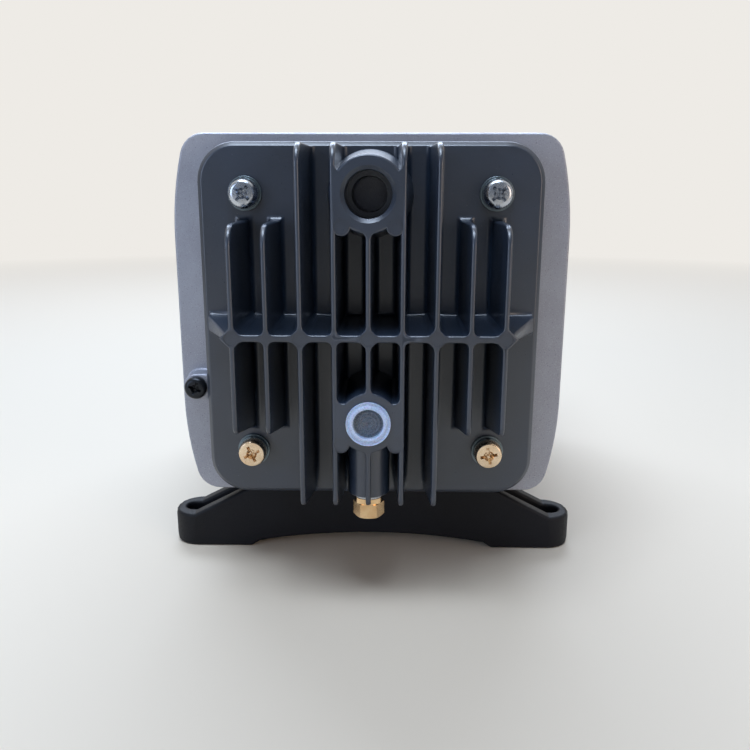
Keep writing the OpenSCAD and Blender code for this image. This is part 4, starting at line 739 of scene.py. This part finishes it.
# ---- housings, rear cover, feet and fasteners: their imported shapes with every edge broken
brokenEdges = {
    "front_housing": ("blastedCasting", "light_cast", 0.7),
    "rear_housing": ("blastedCasting", "light_cast", 0.7),
    "rear_cover": ("blastedCasting", "light_cast", 0.6),
    "front_foot": ("mouldedRubber", "rubber_black", 1.1),
    "rear_foot": ("mouldedRubber", "rubber_black", 1.1),
    "cover_bolts": ("clearZinc", "zinc", 0.12),
    "cover_bolt_washers": ("clearZinc", "zinc", 0.15),
    "foot_screws": ("clearZinc", "zinc", 0.12),
    "foot_washers": ("clearZinc", "zinc", 0.15),
    "cable_gland": ("blackPolyamide", "black_plastic", 0.3),
    "gland_nut": ("blackPolyamide", "black_plastic", 0.2),
    "rating_plate": ("brushedSheet", "zinc", 0.1),
    "terminal_block": ("mouldedNylon", "nylon", 0.25),
    "rectifier": ("blackPolyamide", "black_plastic", 0.3),
}
for node, (finish, slotName, rounding) in brokenEdges.items():
    first, *rest = node.split("_")
    name = first + "".join(word.capitalize() for word in rest)
    cadPiece(name, node, finish, "frame", rounding)
print("housings, feet and fasteners done")

# ---- springs: round wire with closed ends
springs = {
    "returnSpring": {
        "node": "return_spring", "joint": "piston_slide", "radius": 13.0, "wire": 3.0, "turns": 6,
        "start": 16.55, "end": 50.45, "close": 3.5, "z": 83.3, "anchor": 50.45, "keep": 0.735},
    "suctionSpring": {
        "node": "suction_spring", "joint": "suction_lift", "radius": 4.9, "wire": 0.4, "turns": 3,
        "start": -58.35, "end": -55.15, "close": 0.85, "z": 93.3, "anchor": -55.15, "keep": 0.625},
    "dischargeSpring": {
        "node": "discharge_spring", "joint": "discharge_lift", "radius": 4.9, "wire": 0.4, "turns": 3,
        "start": -61.55, "end": -58.35, "close": 0.85, "z": 73.3, "anchor": -61.55, "keep": 0.625},
}


def wireSpring(name, coil):
    perTurn = 24
    steps = coil["turns"] * perTurn
    length, turns = coil["end"] - coil["start"] - coil["wire"], coil["turns"]
    curve = bpy.data.curves.new(name, "CURVE")
    curve.dimensions = "3D"
    curve.bevel_depth, curve.bevel_resolution, curve.use_fill_caps = coil["wire"] / 2 - hair, 3, True
    line = curve.splines.new("POLY")
    line.points.add(steps)
    for i, point in enumerate(line.points):
        t = i / perTurn
        rise = t * coil["close"] if t <= 1 else length - (turns - t) * coil["close"] if t >= turns - 1 \
            else coil["close"] + (t - 1) * (length - 2 * coil["close"]) / (turns - 2)
        point.co = (coil["radius"] * math.cos(2 * math.pi * t), coil["start"] + coil["wire"] / 2 + rise,
            coil["z"] + coil["radius"] * math.sin(2 * math.pi * t), 1)
    thing = bpy.data.objects.new(name, curve)
    bpy.context.scene.collection.objects.link(thing)
    bpy.context.view_layer.update()
    mesh = bpy.data.meshes.new_from_object(thing.evaluated_get(bpy.context.evaluated_depsgraph_get()))
    bpy.data.objects.remove(thing)
    bm = bmesh.new()
    bm.from_mesh(mesh)
    bmesh.ops.remove_doubles(bm, verts=bm.verts, dist=weld)
    bmesh.ops.recalc_face_normals(bm, faces=bm.faces)
    piece = finishPiece(name, bm, "turnedSteel", "frame", [coil["node"]], sharp=60)
    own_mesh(piece)
    return piece


for name, coil in springs.items():
    wireSpring(name, coil)
print("springs done")

# ---- every CAD node that stays gets its finish
nodeFinish = {
    "darkCoatedCasting": ["head_cover"],
    "blastedCasting": ["front_housing", "rear_housing", "rear_cover", "cylinder_barrel", "piston"],
    "mouldedRubber": ["front_foot", "rear_foot"],
    "clearZinc": ["head_screws", "head_spring_washers", "head_flat_washers", "cover_bolts",
        "cover_bolt_washers", "foot_sleeves", "foot_screws", "foot_washers", "fixing_screws", "drain_washer"],
    "blackZinc": ["ground_screw"],
    # the valve plate's near-black steel is painted shade seen at the back of the port bore
    "boreShadeSteel": ["valve_plate"],
    "mouldedNylon": ["thermal_cutout", "terminal_block", "upper_bobbin", "lower_bobbin"],
    "turnedBrass": ["drain_plug", "rear_bush", "terminal_screws"],
    "milkyPolyethylene": ["port_cap"],
    "gasketFibre": ["head_gasket", "housing_gasket", "cover_gasket"],
    "filledPtfe": ["piston_ring", "guide_ring"],
    "blackPolyamide": ["cable_gland", "gland_nut", "rectifier"],
    "stackedSheet": ["stator_core", "armature"],
    "woundCopper": ["upper_coil", "lower_coil"],
    "brushedSheet": ["rating_plate"],
}
finishOf = {node: finish for finish, names in nodeFinish.items() for node in names}
for name, node in nodes.items():
    node.data.materials.clear()
    node.data.materials.append(materials[finishOf.get(name, "turnedSteel")])

# ---- floor, lamps and the pale background, in metres
pale = linear("#eeebe6")
stage = {
    "floorSize": 3, "floorColour": "#dccdb8", "floorRough": 0.75, "floorSpecular": 0.2, "fadeFrom": 0.35,
    "fadeTo": 1.3, "roomColour": "#b8c8e2", "roomLevel": 0.25, "skyWay": (0, 0.8, 0.6), "skyFrom": -0.1,
    "skyTo": 0.7, "skyLeast": 0.12,
}
floorMesh = bpy.data.meshes.new("floor")
bm = bmesh.new()
bmesh.ops.create_grid(bm, x_segments=1, y_segments=1, size=stage["floorSize"])
bm.to_mesh(floorMesh)
bm.free()
floor = bpy.data.objects.new("floor", floorMesh)
bpy.context.scene.collection.objects.link(floor)
paleFloor, tree, shader, place = newMaterial("paleFloor")
shader.inputs["Base Color"].default_value = linear(stage["floorColour"])
shader.inputs["Roughness"].default_value = stage["floorRough"]
shader.inputs["Specular IOR Level"].default_value = stage["floorSpecular"]
path = addNode(tree, "ShaderNodeLightPath")
away = spanOf(tree, lengthOf(tree, place), stage["fadeFrom"], stage["fadeTo"])
fade = addNode(tree, "ShaderNodeMath", {0: away, 1: path.outputs["Is Camera Ray"]}, operation="MULTIPLY")
haze = addNode(tree, "ShaderNodeEmission", {"Color": pale, "Strength": 1.0})
blended = addNode(tree, "ShaderNodeMixShader", {0: fade.outputs[0], 1: shader.outputs[0], 2: haze.outputs[0]})
tree.links.new(blended.outputs[0], tree.nodes["Material Output"].inputs["Surface"])
floorMesh.materials.append(paleFloor)


def lamp(name, place, aim, size, power, colour):
    data = bpy.data.lights.new(name, "AREA")
    data.shape = "RECTANGLE"
    data.size, data.size_y = size
    data.energy = power
    data.color = linear(colour)[:3]
    thing = bpy.data.objects.new(name, data)
    thing.location = place
    thing.rotation_euler = (Vector(aim) - Vector(place)).to_track_quat("-Z", "Y").to_euler()
    bpy.context.scene.collection.objects.link(thing)


lamps = {
    # name: place, aim, size, watts and colour
    "windowBehind": ((-0.1, 0.8, 0.95), (0, 0, 0.08), (1.2, 0.5), 19, "#d0e3ff"),
    "windowAbove": ((-0.1, -0.3, 1.0), (0, -0.08, 0.05), (0.6, 0.4), 9, "#d5e7ff"),
    "frontLeft": ((-0.8, -0.85, 0.32), (0, -0.08, 0.08), (0.5, 0.6), 3.6, "#cfe0ff"),
    "frontRight": ((0.85, -0.8, 0.28), (0, -0.08, 0.08), (0.5, 0.6), 3, "#ffe9d6"),
}
for name, settings in lamps.items():
    lamp(name, *settings)

world = bpy.data.worlds.new("studio")
bpy.context.scene.world = world
world.use_nodes = True
tree = world.node_tree
dim = tree.nodes["Background"]
dim.inputs["Color"].default_value = linear(stage["roomColour"])
dim.inputs["Strength"].default_value = stage["roomLevel"]
bright = addNode(tree, "ShaderNodeBackground", {"Color": pale, "Strength": 1.0})
path = addNode(tree, "ShaderNodeLightPath")
# reflections see the same pale background, bright behind and above and dim in front
toSky = addNode(tree, "ShaderNodeVectorMath", {0: addNode(tree, "ShaderNodeTexCoord").outputs["Generated"],
    1: stage["skyWay"]}, operation="DOT_PRODUCT").outputs["Value"]
mirrored = addNode(tree, "ShaderNodeMath", {0: spanOf(tree, toSky, stage["skyFrom"], stage["skyTo"],
    stage["skyLeast"], 1.0), 1: path.outputs["Is Glossy Ray"]}, operation="MULTIPLY")
seen = addNode(tree, "ShaderNodeMath", {0: path.outputs["Is Camera Ray"],
    1: path.outputs["Is Transmission Ray"]}, operation="MAXIMUM")
seen = addNode(tree, "ShaderNodeMath", {0: seen.outputs[0], 1: mirrored.outputs[0]}, operation="MAXIMUM")
both = addNode(tree, "ShaderNodeMixShader", {0: seen.outputs[0], 1: dim.outputs[0], 2: bright.outputs[0]})
tree.links.new(both.outputs[0], tree.nodes["World Output"].inputs["Surface"])

print("pieces placed, now finishing")
